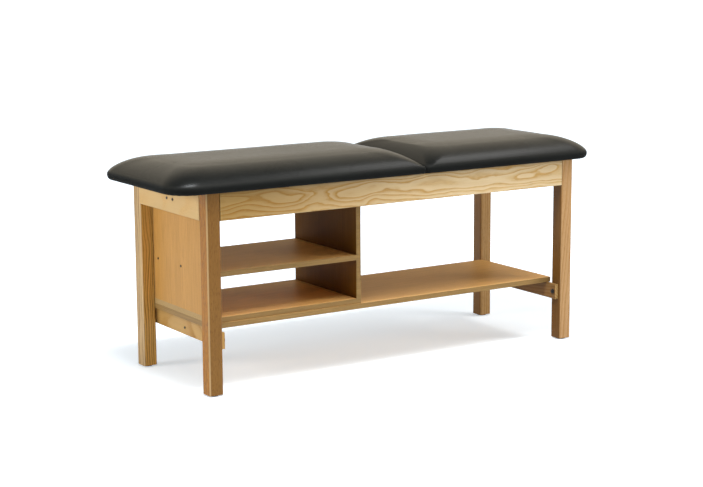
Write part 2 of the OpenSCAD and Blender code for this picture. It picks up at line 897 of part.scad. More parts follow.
// Glides with their nails
module glides() {
    color(glide_black)
        difference() {
            at_legs() {
                cylinder(h = 1.2, d = glide_d - 3);
                translate([0, 0, 1.2])
                    cylinder(h = glide_h - 1.2, d = glide_d);
            }
            at_legs() {
                translate([0, 0, -1])
                    cylinder(h = glide_h + 2, r = nail_r + fit_gap);
                translate([0, 0, -1])
                    cylinder(h = 3, r = head_r + 1);
            }
        }
}
module glide_nails() {
    color(steel)
        at_legs() {
            translate([0, 0, 1])
                cylinder(h = 1, r = head_r);
            translate([0, 0, 2])
                cylinder(h = nail_l - 2, r = nail_r);
        }
}

// One section of the top: board, foam and cover
module section_board(is_foot) {
    translate([0, 0, underside + vinyl_t])
        linear_extrude(board_t - vinyl_t)
            polygon(level_outline(is_foot, board_level(0, 0)));
    translate([0, 0, underside])
        linear_extrude(vinyl_t)
            polygon(level_outline(is_foot, turned_level(0) + [0, air, air, air, -air, -air]));
}
module section_foam(is_foot) {
    stack(is_foot, concat([board_level(underside + board_t, 0), board_level(underside + vinyl_t, 0)],
        skin_levels(vinyl_t)));
}
module section_cover(is_foot) {
    stack(is_foot, concat(reversed(skin_levels(vinyl_t)),
        [turned_level(underside + vinyl_t), turned_level(underside)], skin_levels(0)));
}
module foot_board() {
    color(plywood)
        difference() {
            section_board(true);
            at_leaf_screws(-1)
                screw_hole(leaf_screw_l, leaf_screw_r);
            at_top_angles()
                translate([0, angle_leg * 0.6, -angle_t])
                    screw_hole(angle_screw_l);
        }
}
module foot_foam() {
    color(foam_grey)
        section_foam(true);
}
module foot_cover() {
    color(vinyl_black)
        section_cover(true);
}
module backrest_board() {
    color(plywood)
        difference() {
            section_board(false);
            at_leaf_screws(1)
                screw_hole(leaf_screw_l, leaf_screw_r);
            at_bracket_screws()
                screw_hole(ear_t + bracket_bite);
        }
}
module backrest_foam() {
    color(foam_grey)
        section_foam(false);
}
module backrest_cover() {
    color(vinyl_black)
        section_cover(false);
}

// Steel angles that hold the foot section down on the side rails
module top_angles() {
    color(steel)
        difference() {
            at_top_angles()
                union() {
                    block([-angle_w / 2, 0, -angle_leg], [angle_w / 2, angle_t, 0]);
                    block([-angle_w / 2, 0, -angle_t], [angle_w / 2, angle_leg, 0]);
                }
            at_top_angles() {
                translate([0, angle_leg * 0.6, -angle_t])
                    screw_hole(angle_t);
                translate([0, angle_t, -angle_leg * 0.6])
                    to_y(-1)
                        screw_hole(angle_t);
            }
        }
}
module top_angle_screws() {
    color(dark_steel)
        at_top_angles() {
            translate([0, angle_leg * 0.6, -angle_t])
                wood_screw(angle_screw_l);
            translate([0, angle_t, -angle_leg * 0.6])
                to_y(-1)
                    wood_screw(angle_screw_l);
        }
}

// Hinge along the seam: the even knuckles are fixed, the odd ones move
module leaf(side, first) {
    difference() {
        translate([seam_x, 0, 0]) {
            x = [side * knuckle_r, side * (knuckle_r - leaf_t)];
            block([min(x), -hinge_l / 2, leaf_z0], [max(x), hinge_l / 2, hinge_z - knuckle_r - air]);
            for (i = [first : 2 : knuckle_n - 1]) {
                y0 = i * knuckle_l - hinge_l / 2 + knuckle_gap / 2;
                y1 = y0 + knuckle_l - knuckle_gap;
                block([min(x), y0, hinge_z - knuckle_r - air], [max(x), y1, hinge_z]);
                translate([0, y0, hinge_z])
                    to_y()
                        cylinder(h = knuckle_l - knuckle_gap, r = knuckle_r);
            }
        }
        translate([seam_x, -hinge_l / 2 - 1, hinge_z])
            to_y()
                cylinder(h = hinge_l + 2, r = pin_r + run_gap);
        at_leaf_screws(side)
            screw_hole(leaf_t, leaf_screw_r);
    }
}
module hinge_fixed_leaf() {
    color(steel)
        leaf(-1, 0);
}
module hinge_moving_leaf() {
    color(steel)
        leaf(1, 1);
}
module hinge_pin() {
    color(dark_steel)
        translate([seam_x, -hinge_l / 2, hinge_z])
            to_y()
                cylinder(h = hinge_l, r = pin_r);
}
module hinge_fixed_screws() {
    color(dark_steel)
        at_leaf_screws(-1)
            wood_screw(leaf_screw_l, leaf_screw_r, 2.8, leaf_head_h);
}
module hinge_moving_screws() {
    color(dark_steel)
        at_leaf_screws(1)
            wood_screw(leaf_screw_l, leaf_screw_r, 2.8, leaf_head_h);
}

// Racks: their top edge lies just under the path of the prop's foot, and each notch has a steep
// face on the side towards the head
function notch(k) =
    let (x = mix(foot_x(tilt_first), foot_x(tilt_max), k / (notch_n - 1)), face = tip(x + rod_r + 1))
    [face, face - [0, notch_d], face - [2 * rod_r + 1, notch_d], tip(x - rod_r - 8)];
module rack(sy) {
    y = [sy * (rail_in_y - rack_t), sy * rail_in_y];
    color(steel)
        difference() {
            translate([0, max(y), 0])
                rotate([90, 0, 0])
                    linear_extrude(rack_t)
                        polygon(concat([[rack_x0, rack_z0], [rack_x1, rack_z0],
                            [rack_x1, rack_rest_z], [foot_x(0) - rod_r, rack_rest_z]],
                            [for (k = [0 : notch_n - 1]) each notch(k)],
                            [[rack_x0, tip(rack_x0 + rack_tail / 2)[1]]]));
            at_rack_screws(sy)
                screw_hole(rack_t);
        }
}
module rack_front() {
    rack(-1);
}
module rack_rear() {
    rack(1);
}
module rack_screws() {
    color(dark_steel)
        for (sy = [-1, 1])
            at_rack_screws(sy)
                wood_screw(rack_t + rack_bite);
}

// Prop: two bent arms that turn in brackets under the backrest, and the rod that is their foot
module prop_arms() {
    color(steel)
        for (sy = [-1, 1])
            difference() {
                translate([pivot_x, 0, pivot_z]) {
                    translate([bend_r, sy * arm_y, 0])
                        to_x()
                            cylinder(h = prop_reach - bend_r, r = rod_r);
                    translate([bend_r, sy * (arm_y + bend_r), 0])
                        mirror([0, sy < 0 ? 1 : 0, 0])
                            rotate([0, 0, 180])
                                rotate_extrude(angle = 90)
                                    translate([bend_r, 0])
                                        circle(r = rod_r);
                    translate([0, sy * (arm_y + bend_r), 0])
                        to_y(sy)
                            cylinder(h = 2 * ear_gap + ear_t + clip_t, r = rod_r);
                }
                translate([foot_x(0), 0, foot_z(0)])
                    to_y()
                        cylinder(h = 2 * foot_rod_y, r = rod_r, center = true);
            }
}
module prop_foot_rod() {
    color(steel)
        translate([foot_x(0), 0, foot_z(0)])
            to_y()
                cylinder(h = 2 * foot_rod_y, r = rod_r, center = true);
}
module prop_clips() {
    color(dark_steel)
        for (sy = [-1, 1])
            translate([pivot_x, sy * (ear_y + ear_t + air), pivot_z])
                to_y(sy)
                    difference() {
                        cylinder(h = clip_t, r = rod_r + clip_rim);
                        translate([0, 0, -1])
                            cylinder(h = clip_t + 2, r = rod_r + 0.01);
                    }
}
module prop_brackets() {
    color(steel)
        difference() {
            for (sy = [-1, 1])
                mirror([0, sy < 0 ? 1 : 0, 0])
                    union() {
                        block([pivot_x - bracket_w / 2, arm_y - bracket_in, underside - ear_t],
                              [pivot_x + bracket_w / 2, ear_y + ear_t, underside]);
                        block([pivot_x - bracket_w / 4, ear_y, pivot_z],
                              [pivot_x + bracket_w / 4, ear_y + ear_t, underside]);
                        translate([pivot_x, ear_y, pivot_z])
                            to_y()
                                cylinder(h = ear_t, r = bracket_w / 4);
                    }
            translate([pivot_x, 0, pivot_z])
                to_y()
                    cylinder(h = 2 * frame_w, r = rod_r + run_gap, center = true);
            at_bracket_screws()
                screw_hole(ear_t);
        }
}
module prop_bracket_screws() {
    color(dark_steel)
        at_bracket_screws()
            wood_screw(ear_t + bracket_bite);
}

leg_foot_front();
leg_foot_rear();
leg_head_front();
leg_head_rear();
front_rail();
rear_rail();
foot_end_rail();
head_end_rail();
unit_cross_rail();
seam_rail();
spreader_rail();
cross_dowels();
corner_blocks();
rail_dowels();
leg_bolts();
leg_bolt_nuts();
foot_stretcher();
head_stretcher();
stretcher_bolts();
long_shelf();
long_shelf_bands();
shelf_angles();
shelf_angle_bolts();
unit_base();
unit_end_panel();
unit_divider();
unit_middle_shelf();
unit_bands();
unit_shelf_screws();
unit_base_screws();
unit_top_screws();
unit_dowels();
end_rail_spacer();
end_rail_screws();
glides();
glide_nails();
foot_board();
foot_foam();
foot_cover();
top_angles();
top_angle_screws();
hinge_fixed_leaf();
hinge_pin();
hinge_fixed_screws();
rack_front();
rack_rear();
rack_screws();
backrest_board();
backrest_foam();
backrest_cover();
hinge_moving_leaf();
hinge_moving_screws();
prop_brackets();
prop_bracket_screws();
prop_arms();
prop_foot_rod();
prop_clips();
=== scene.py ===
"""Treatment table with a lifting backrest: upholstery, wood and steel finishes, and the studio."""

import json
import math

import bmesh
import bpy
from bpy.props import BoolProperty, FloatProperty, FloatVectorProperty, IntProperty, PointerProperty
from mathutils import Matrix, Vector

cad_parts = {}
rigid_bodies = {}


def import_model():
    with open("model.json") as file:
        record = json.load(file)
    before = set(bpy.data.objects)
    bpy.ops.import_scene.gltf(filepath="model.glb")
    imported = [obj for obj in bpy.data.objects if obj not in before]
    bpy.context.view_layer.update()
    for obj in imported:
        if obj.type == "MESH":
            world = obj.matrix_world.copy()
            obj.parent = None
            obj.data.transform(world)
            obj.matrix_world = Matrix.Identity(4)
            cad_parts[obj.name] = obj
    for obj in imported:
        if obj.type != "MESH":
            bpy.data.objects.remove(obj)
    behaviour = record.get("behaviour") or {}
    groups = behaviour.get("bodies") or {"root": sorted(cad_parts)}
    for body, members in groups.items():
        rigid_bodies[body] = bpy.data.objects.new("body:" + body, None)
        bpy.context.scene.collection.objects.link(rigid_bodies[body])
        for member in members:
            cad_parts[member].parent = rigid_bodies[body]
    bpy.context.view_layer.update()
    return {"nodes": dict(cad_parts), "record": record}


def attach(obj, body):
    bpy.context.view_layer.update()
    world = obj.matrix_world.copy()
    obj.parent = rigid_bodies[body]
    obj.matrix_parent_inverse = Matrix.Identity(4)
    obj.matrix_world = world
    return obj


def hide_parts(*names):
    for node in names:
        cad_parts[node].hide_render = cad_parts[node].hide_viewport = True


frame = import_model()

bl_info = {
    "name": "Treatment Table",
    "version": (1, 0, 0),
    "blender": (4, 5, 0),
    "location": "View3D > Sidebar > Treatment Table",
    "description": "Upholstered pads, ash, laminate and steel finishes, and a soft studio",
    "category": "Object",
}


# Settings

def colour(name, text, value):
    return FloatVectorProperty(name=name, description=text, subtype="COLOR", size=3,
                               min=0.0, max=1.0, default=value)


def length(name, text, value, least=0.0, most=1.0):
    return FloatProperty(name=name, description=text, default=value, min=least, max=most,
                         unit="LENGTH", subtype="DISTANCE", precision=4)


def power(name, text, value):
    return FloatProperty(name=name, description=text, default=value, min=0.0, unit="POWER")


class PadSettings(bpy.types.PropertyGroup):
    """Sizes of the two upholstered sections."""
    swell: length("Swell", "How far the foam may push the vinyl out", 0.0028, 0.0, 0.012)
    tuck: length("Tuck", "How much smaller the section starts before it swells", 0.0022, 0.0, 0.01)
    pleat: length("Pleat depth", "Depth of the gathers under the outer corners", 0.0009, 0.0, 0.004)
    pressure: FloatProperty(name="Pressure", description="Push of the foam in the simulation",
                            default=4.0, min=0.0, max=20.0)
    frames: IntProperty(name="Frames", description="Steps of the simulation", default=20, min=2, max=60)
    calm: IntProperty(name="Calm", description="Passes that draw the small creases flat",
                      default=60, min=0, max=80)
    simulate: BoolProperty(name="Simulate", description="Run the cloth simulation", default=True)
    staple_pitch: length("Staple spacing", "Distance between staples under the edge", 0.032, 0.02, 0.2)
    staple_in: length("Staple inset", "How far the staples stand in from the lower face's edge",
                      0.019, 0.01, 0.03)


class FinishSettings(bpy.types.PropertyGroup):
    """Colours of the finishes."""
    vinyl: colour("Vinyl", "Black upholstery vinyl", (0.0060, 0.0065, 0.0060))
    ash_pale: colour("Ash ground", "Pale late wood between the growth lines", (0.77, 0.57, 0.30))
    ash_line: colour("Ash line", "Tan growth lines", (0.55, 0.32, 0.095))
    leg_pale: colour("Leg ground", "Ground colour of the legs", (0.52, 0.33, 0.145))
    leg_line: colour("Leg line", "Growth lines of the legs", (0.37, 0.19, 0.055))
    panel: colour("Panel", "Beech pattern laminate of the end panel", (0.485, 0.252, 0.068))
    shelf: colour("Shelf", "Reddish laminate of the shelves", (0.62, 0.345, 0.116))
    shelf_end: colour("Shelf end", "Tape on the shelves' end faces", (0.425, 0.283, 0.125))
    band: colour("Edge band", "Tan band on the shelf edges", (0.308, 0.184, 0.063))
    plywood: colour("Plywood", "Birch plywood of the boards", (0.62, 0.46, 0.28))
    zinc: colour("Zinc steel", "Plated hinge, prop and brackets", (0.62, 0.63, 0.64))
    dark_steel: colour("Black steel", "Blackened screws", (0.035, 0.033, 0.031))


class StageSettings(bpy.types.PropertyGroup):
    """Light level and floor."""
    overhead: power("Overhead", "Power of the overhead softbox", 84.0)
    end: power("End", "Power of the softbox beside the foot end", 75.0)
    front: power("Front", "Power of the softbox in front of the head end", 128.0)
    strip: power("Strip", "Power of the narrow lamp over the foot section", 96.0)
    slope: power("Slope", "Power of the softbox that lights the front slope of the pads", 52.0)
    ambient: FloatProperty(name="Ambient", description="Level of the room light", default=0.27, min=0.0)
    floor_size: length("Floor", "Side of the square floor", 160.0, 5.0, 400.0)
    floor_glow: FloatProperty(name="Floor white", description="Paleness added to the floor",
                              default=0.43, min=0.0, max=1.0)


# Node graphs

def blend(a, b, k):
    return a + (b - a) * k


def toned(tone, by):
    """A tone times a number, or times a tint."""
    return tuple(c * k for c, k in zip(tone, by if isinstance(by, tuple) else (by, by, by)))


def paler(tone, by, lift=0.0):
    """A tone times a number, no lighter than white."""
    return tuple(min(1.0, c * by + lift) for c in tone)


class Graph:
    """The nodes of one material or world, laid out from left to right."""

    def __init__(self, holder):
        self.holder = holder
        holder.use_nodes = True
        self.tree = holder.node_tree
        self.tree.nodes.clear()
        self.column = 0

    def node(self, kind, fed=None, **settings):
        """A node with its settings, and with numbers or sockets fed to its inputs."""
        made = self.tree.nodes.new(kind)
        self.column += 1
        made.location = (180 * (self.column % 14), -260 * (self.column // 14))
        for key, value in settings.items():
            setattr(made, key, value)
        for key, value in (fed or {}).items():
            self.feed(made.inputs[key], value)
        return made

    def feed(self, socket, value):
        if isinstance(value, bpy.types.NodeSocket):
            self.tree.links.new(value, socket)
        elif isinstance(value, (tuple, list)) and len(value) == 3 and socket.type == "RGBA":
            socket.default_value = (*value, 1.0)
        else:
            socket.default_value = value

    def math(self, operation, a, b=0.0, clamp=False):
        return self.node("ShaderNodeMath", {0: a, 1: b}, operation=operation, use_clamp=clamp).outputs[0]

    def times(self, a, b):
        return self.math("MULTIPLY", a, b)

    def total(self, first, *others):
        for other in others:
            first = self.math("ADD", first, other)
        return first

    def vector(self, operation, a, b=(0.0, 0.0, 0.0)):
        made = self.node("ShaderNodeVectorMath", {0: a, 1: b}, operation=operation)
        return made.outputs["Value"] if operation in {"LENGTH", "DOT_PRODUCT"} else made.outputs[0]

    def stretch(self, a, by):
        """A vector times three numbers, or times one in every direction."""
        return self.vector("MULTIPLY", a, by if isinstance(by, tuple) else (by, by, by))

    def split(self, a):
        return self.node("ShaderNodeSeparateXYZ", {0: a}).outputs

    def mix(self, factor, a, b, mode="MIX"):
        fed = {0: factor, 6: a, 7: b}
        return self.node("ShaderNodeMix", fed, data_type="RGBA", blend_type=mode).outputs[2]

    def ramp(self, factor, stops, smooth=True):
        made = self.node("ShaderNodeValToRGB", {0: factor})
        band = made.color_ramp
        band.interpolation = "EASE" if smooth else "LINEAR"
        while len(band.elements) < len(stops):
            band.elements.new(0.5)
        for element, (place, tone) in zip(band.elements, stops):
            element.position = place
            element.color = (*tone, 1.0) if isinstance(tone, (tuple, list)) else (tone, tone, tone, 1.0)
        return made.outputs[0]

    def laid(self, base, tone, pattern, low, high, most=1.0, mode="MIX"):
        """The base with a tone laid over it where a pattern rises from low to high."""
        return self.mix(self.ramp(pattern, [(low, 0.0), (high, most)]), base, tone, mode)

    def noise(self, place, scale, detail=2.0, rough=0.5, warp=0.0, out="Fac"):
        fed = {"Vector": place, "Scale": scale, "Detail": detail, "Roughness": rough, "Distortion": warp}
        return self.node("ShaderNodeTexNoise", fed).outputs[out]

    def drawn(self, place, by, detail=2.0, rough=0.5, warp=0.0, out="Fac"):
        """A noise drawn out along an axis, from its scale on each of the three."""
        return self.noise(self.stretch(place, by), 1.0, detail, rough, warp, out)

    def sway(self, place, by, detail, rough):
        """A drawn noise of three numbers round zero."""
        return self.vector("SUBTRACT", self.drawn(place, by, detail, rough, out="Color"), (0.5, 0.5, 0.5))

    def place(self):
        return self.node("ShaderNodeTexCoord").outputs["Object"]

    def along(self, grain, centre=(0.0, 0.0, 0.0)):
        """Object coordinates turned so that the grain runs on the first one, from a centre."""
        parts = self.split(self.vector("SUBTRACT", self.place(), centre))
        order = {"X": (0, 1, 2), "Y": (1, 0, 2), "Z": (2, 0, 1)}[grain]
        fed = {number: parts[index] for number, index in enumerate(order)}
        return self.node("ShaderNodeCombineXYZ", fed).outputs[0]

    def facing(self, way):
        """1 on a face that looks the given way, -1 on one that looks the other way."""
        return self.vector("DOT_PRODUCT", self.node("ShaderNodeTexCoord").outputs["Normal"], way)

    def rubbed(self, base, tone, radius, amount):
        """The base with a worn tone on its edges, the rounded normal, and 1 on those edges."""
        rounded = self.node("ShaderNodeBevel", {"Radius": radius}, samples=4).outputs[0]
        plain = self.node("ShaderNodeNewGeometry").outputs["Normal"]
        turn = self.vector("DOT_PRODUCT", rounded, plain)
        rub = self.ramp(turn, [(0.80, 1.0), (0.985, 0.0)], smooth=False)
        return self.mix(self.times(rub, amount), base, tone), rounded, rub

    def painted_contact_shade(self, base, tint, reach, grain):
        """The base colour with painted contact shade, darker where another piece stands close to a face along
        the grain.
        """
        close = self.node("ShaderNodeAmbientOcclusion", {"Distance": reach}, samples=6).outputs["AO"]
        ends = self.facing(tuple(1.0 if axis == grain else 0.0 for axis in "XYZ"))
        side = self.math("SUBTRACT", 1.0, self.math("ABSOLUTE", ends))
        near = self.ramp(close, [(0.35, 1.0), (0.95, 0.0)], smooth=False)
        return self.mix(self.times(near, side), base, tint, "MULTIPLY")

    def bump(self, height, distance, strength, normal):
        fed = {"Strength": strength, "Distance": distance, "Height": height, "Normal": normal}
        return self.node("ShaderNodeBump", fed).outputs[0]

    def seen(self):
        """1 for what the camera sees straight, in a gloss or through glass, 0 for other light."""
        rays = self.node("ShaderNodeLightPath").outputs
        either = self.math("MAXIMUM", rays["Is Camera Ray"], rays["Is Glossy Ray"])
        return self.math("MAXIMUM", either, rays["Is Transmission Ray"])

    def surface(self, base, rough, normal, **fixed):
        """Ends a material with its shader, and gives the material."""
        fed = {"Base Color": base, "Roughness": rough, "Normal": normal}
        fed.update({key.replace("_", " "): value for key, value in fixed.items()})
        shader = self.node("ShaderNodeBsdfPrincipled", fed)
        self.node("ShaderNodeOutputMaterial", {0: shader.outputs[0]})
        return self.holder


def material_graph(name):
    return Graph(bpy.data.materials.new(name))


def finish(node, material):
    """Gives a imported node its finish."""
    thing = frame["nodes"][node]
    for held in ([thing] if thing.type == "MESH" else thing.children_recursive):
        if held.type != "MESH":
            continue
        if not held.material_slots:
            held.data.materials.append(material)
        for held_slot in held.material_slots:
            held_slot.material = material


# Finishes

def ash(name, pale, line, grain, pith, lean=(0.03, 0.03), year=0.0085, wander=0.006, drift=2.6,
        tint=(1.0, 1.0, 1.0), faint=1.0, deep=1.0, bold=0.0, eyes=(), darker_wood_and_shade=None, sides=(), painted_edge_highlight=None,
        fleck=0.0, close=0.0):
    """Flat sawn ash: growth rings round a pith that lies beside the board, cut by its faces.

    The pith is a point on it, lean how it slants across and up, year the width of a ring, and wander and
    drift how far and how often the rings stray.
    Tint is for ground and lines. Faint is the lines' share of their own tone, and deep darkens them.
    Bold is the strength of the figure, and each eye an island in it: (along, across, up, reach along,
    reach across, depth).
    The mellow part darkens the board from one place along it to another, darker wood and painted shade
    together: (along where it starts, along where it is full, tint).
    Each of the sides is a face with a tint of its own: (direction that it faces, tint); on the pieces at
    the head end it is painted shade on the faces turned from the light. The tone of eased is a painted
    highlight along a rounded edge: (direction that it faces, tone).
    Fleck is the strength of the short dark pores, and close how far from another piece the painted
    contact shade reaches.
    """
    pale, line = toned(pale, tint), toned(tuple(blend(a, b, faint) * deep for a, b in zip(pale, line)), tint)
    g = material_graph(name)
    spot = g.along(grain, pith)
    length_way, across, up = g.split(spot)

    # the tree leans and wanders, so that the rings come to the face as long arches and islands
    shiver = g.sway(spot, (16.0, 46.0, 46.0), 2.0, 0.5)
    stray = g.stretch(g.sway(spot, (drift, drift * 2.6, drift * 2.6), 1.5, 0.45), wander * 2.0)
    offset = g.vector("ADD", stray, g.stretch(shiver, wander * 0.16))
    across = g.total(across, g.times(length_way, lean[0]))
    up = g.total(up, g.times(length_way, lean[1]))
    flat = g.node("ShaderNodeCombineXYZ", {1: across, 2: up}).outputs[0]
    radius = g.vector("LENGTH", g.stretch(g.vector("ADD", flat, offset), (0.0, 1.0, 1.0)))
    for *middle, reach, spread, depth in eyes:
        out = g.vector("SUBTRACT", spot, tuple(a - b for a, b in zip(middle, pith)))
        out = g.vector("ADD", g.stretch(out, (1.0 / reach, 0.0, 1.0 / spread)), g.stretch(shiver, 1.1))
        near = g.math("EXPONENT", g.times(g.vector("DOT_PRODUCT", out, out), -1.0))
        radius = g.total(radius, g.times(near, depth))
    fed = {"W": g.times(radius, 0.33 / year), "Scale": 1.0, "Detail": 1.0}
    uneven = g.node("ShaderNodeTexNoise", fed, noise_dimensions="1D").outputs["Fac"]
    rings = g.total(g.times(radius, 1.0 / year), g.times(uneven, 1.4))
    early = g.ramp(g.math("FRACT", rings),
                   [(0.0, 0.55), (0.05, 1.0), (0.15, 0.85 + 0.12 * bold), (0.34, 0.28 + 0.24 * bold),
                    (0.60, 0.06 + 0.07 * bold), (0.90, 0.0), (1.0, 0.32)])
    fade = g.ramp(g.drawn(spot, (3.0, 12.0, 12.0)), [(0.3, 0.40 + 0.35 * bold), (0.60, 1.0)])
    early = g.times(early, fade)

    # fibres, and the open pores that sit in the early wood
    fibre = g.drawn(spot, (5.0, 260.0, 260.0), 3.0, 0.6)
    pore = g.ramp(g.drawn(spot, (55.0, 1500.0, 1500.0), 1.0), [(0.36, 1.0), (0.46, 0.0)], smooth=False)
    pore = g.times(pore, early)
    ground = g.laid(pale, toned(pale, 0.848), g.drawn(spot, (1.3, 5.0, 5.0)), 0.30, 0.70)
    ground = g.laid(ground, toned(pale, 0.80), fibre, 0.30, 0.72, 0.42)
    wood = g.mix(early, ground, line)
    wood = g.mix(g.times(pore, 0.55), wood, toned(line, 0.52))
    # mellow: darker wood and painted shade over part of the board's length
    if darker_wood_and_shade:
        start, full, darker = darker_wood_and_shade
        ease = g.math("DIVIDE", g.math("SUBTRACT", length_way, start - pith[0]), full - start, clamp=True)
        wood = g.mix(ease, wood, darker, "MULTIPLY")
    # faces with a tint of their own: on the head end pieces this is painted shade on faces turned from the
    # light
    for way, own in sides:
        wood = g.laid(wood, own, g.facing(way), 0.45, 0.9, mode="MULTIPLY")
    if fleck:
        dots = g.ramp(g.drawn(spot, (62.0, 400.0, 400.0), 1.0), [(0.36, 1.0), (0.46, 0.0)])
        wood = g.mix(g.times(dots, fleck), wood, toned(line, 0.55))
    # painted highlight along a rounded edge
    if painted_edge_highlight:
        wood = g.laid(wood, painted_edge_highlight[1], g.facing(painted_edge_highlight[0]), 0.84, 0.95)
    # painted contact shade, dark brown, where another piece stands close
    if close:
        wood = g.painted_contact_shade(wood, (0.22, 0.17, 0.12), close, grain)
    wood, rounded, rub = g.rubbed(wood, paler(pale, 1.12), 0.0018, 0.30)
    gloss = g.total(g.times(early, 0.10), g.times(fibre, 0.16), g.total(g.times(rub, 0.10), 0.34))
    relief = g.math("SUBTRACT", g.times(fibre, 0.5), g.times(pore, 0.8))
    return g.surface(wood, gloss, g.bump(relief, 0.00018, 0.6, rounded),
                     IOR=1.24, Coat_Weight=0.05, Coat_Roughness=0.30)


def laminate(name, grain, tone, streak, flake, gloss, index, ends=None):
    """Wood pattern laminate: fine straight streaks and short flecks under a satin skin.

    Streak, flake and gloss are the strength of the streaks and flecks and the roughness, index is the
    shader's IOR, and ends is the tone of the tape on the two faces across the table's length.
    """
    g = material_graph(name)
    spot = g.along(grain)
    bend = g.stretch(g.drawn(spot, (2.2, 7.0, 7.0), 1.0, out="Color"), (0.0, 0.02, 0.02))
    spot = g.vector("ADD", spot, bend)
    fine = g.drawn(spot, (7.0, 330.0, 330.0), 3.0, 0.6)
    flecks = g.drawn(spot, (95.0, 900.0, 900.0), 1.0)
    fleck = g.ramp(flecks, [(0.30, 1.0), (0.40, 0.0)], smooth=False)
    broad = g.drawn(spot, (1.1, 22.0, 22.0), 3.0, 0.55)
    wood = g.laid(paler(tone, 1.0 + 0.55 * streak), tone, broad, 0.32, 0.68)
    wood = g.laid(wood, toned(tone, 1.0 - 1.6 * streak), fine, 0.38, 0.72, 0.75)
    wood = g.mix(g.times(fleck, 0.42 * flake), wood, toned(tone, 0.58))
    if ends:
        tape = g.laid(ends, toned(ends, 0.75), fine, 0.38, 0.72, 0.75)
        wood = g.mix(g.math("GREATER_THAN", g.math("ABSOLUTE", g.facing((1.0, 0.0, 0.0))), 0.7), wood, tape)
    # painted contact shade where another piece stands close
    wood = g.painted_contact_shade(wood, (0.55, 0.50, 0.45), 0.025, grain)
    wood, rounded, rub = g.rubbed(wood, paler(tone, 1.3), 0.0012, 0.35)
    sheen = g.total(g.times(fine, 0.12), g.total(g.times(rub, 0.12), gloss - 0.06))
    return g.surface(wood, sheen, g.bump(g.total(fine, flecks), 0.00006, 0.5, rounded), IOR=index)


def edge_band(name, tone):
    """Thin wood pattern tape along the front edges."""
    g = material_graph(name)
    spot = g.place()
    dark = toned(tone, 0.70)
    lines = g.drawn(spot, (4.0, 4.0, 420.0), 3.0, 0.6)
    ticks = g.ramp(g.drawn(spot, (60.0, 60.0, 1400.0), 1.0), [(0.30, 1.0), (0.42, 0.0)], smooth=False)
    wood = g.laid(tone, toned(tone, 0.84), g.drawn(spot, (3.0, 3.0, 60.0)), 0.35, 0.65)
    wood = g.laid(wood, dark, lines, 0.40, 0.70, 0.8)
    wood = g.mix(g.times(ticks, 0.30), wood, toned(dark, 0.6))
    wood, rounded, _ = g.rubbed(wood, paler(tone, 1.25), 0.0008, 0.4)
    rough = g.total(g.times(lines, 0.15), 0.40)
    return g.surface(wood, rough, g.bump(lines, 0.00008, 0.5, rounded), IOR=1.26)


PLY_PAIR = 0.0046   # a light ply and a dark one


def plywood(name, tone):
    """Birch plywood: plies on the edges, calm rotary grain on the faces."""
    g = material_graph(name)
    spot = g.place()
    fibre = g.drawn(spot, (9.0, 420.0, 420.0), 2.0, 0.6)
    face = g.laid(tone, toned(tone, 0.78), g.drawn(spot, (3.0, 38.0, 38.0), 3.0, 0.55, 0.6), 0.35, 0.65, 0.6)
    sweep = g.ramp(g.drawn(spot, (1.4, 8.0, 8.0), 3.0, 0.5, 1.6),
                   [(0.40, 0.0), (0.50, 0.8), (0.56, 0.1), (0.70, 0.9)])
    face = g.mix(sweep, face, toned(tone, (0.84, 0.74, 0.60)))
    face = g.laid(face, toned(tone, 0.70), fibre, 0.4, 0.75, 0.5)
    layer = g.ramp(g.math("FRACT", g.times(g.split(spot)[2], 1.0 / PLY_PAIR)),
                   [(0.0, 0.0), (0.46, 0.0), (0.50, 1.0), (0.96, 1.0), (1.0, 0.0)], smooth=False)
    edge = g.math("LESS_THAN", g.math("ABSOLUTE", g.facing((0.0, 0.0, 1.0))), 0.6)
    wood = g.mix(edge, face, g.mix(layer, toned(tone, 0.92), toned(tone, 0.42)))
    wood, rounded, _ = g.rubbed(wood, toned(tone, 0.6), 0.001, 0.3)
    return g.surface(wood, g.total(g.times(fibre, 0.2), 0.52), g.bump(fibre, 0.00015, 0.6, rounded), IOR=1.45)


def plated_steel(name, tone, dull=0.34, metal=1.0, spangle=0.05):
    """Plated or blackened steel: faint handling marks, softer on the worn edges."""
    g = material_graph(name)
    spot = g.place()
    blotch = g.noise(spot, 42.0, 4.0, 0.6)
    scuff = g.drawn(spot, (120.0, 900.0, 900.0), 3.0, 0.6)
    base = g.laid(tone, toned(tone, 1.0 - 3.0 * spangle), blotch, 0.35, 0.65)
    base, rounded, _ = g.rubbed(base, paler(tone, 1.35, 0.03), 0.0006, 0.5)
    rough = g.total(g.times(blotch, 0.16), g.times(scuff, 0.14), dull - 0.14)
    marks = g.total(g.noise(spot, 900.0, 2.0, 0.6), scuff)
    return g.surface(base, rough, g.bump(marks, 0.00004, 0.5, rounded), Metallic=metal)


def glide_nylon(name):
    """Dark nylon of the foot glides, scuffed where it slides."""
    g = material_graph(name)
    spot = g.place()
    grain = g.noise(spot, 700.0, 3.0, 0.6)
    base = g.laid((0.020, 0.018, 0.016), (0.032, 0.029, 0.026), g.noise(spot, 60.0, 3.0, 0.6), 0.3, 0.7)
    base, rounded, _ = g.rubbed(base, (0.085, 0.08, 0.075), 0.0008, 0.6)
    return g.surface(base, g.total(g.times(grain, 0.25), 0.40), g.bump(grain, 0.0001, 0.5, rounded), IOR=1.5)


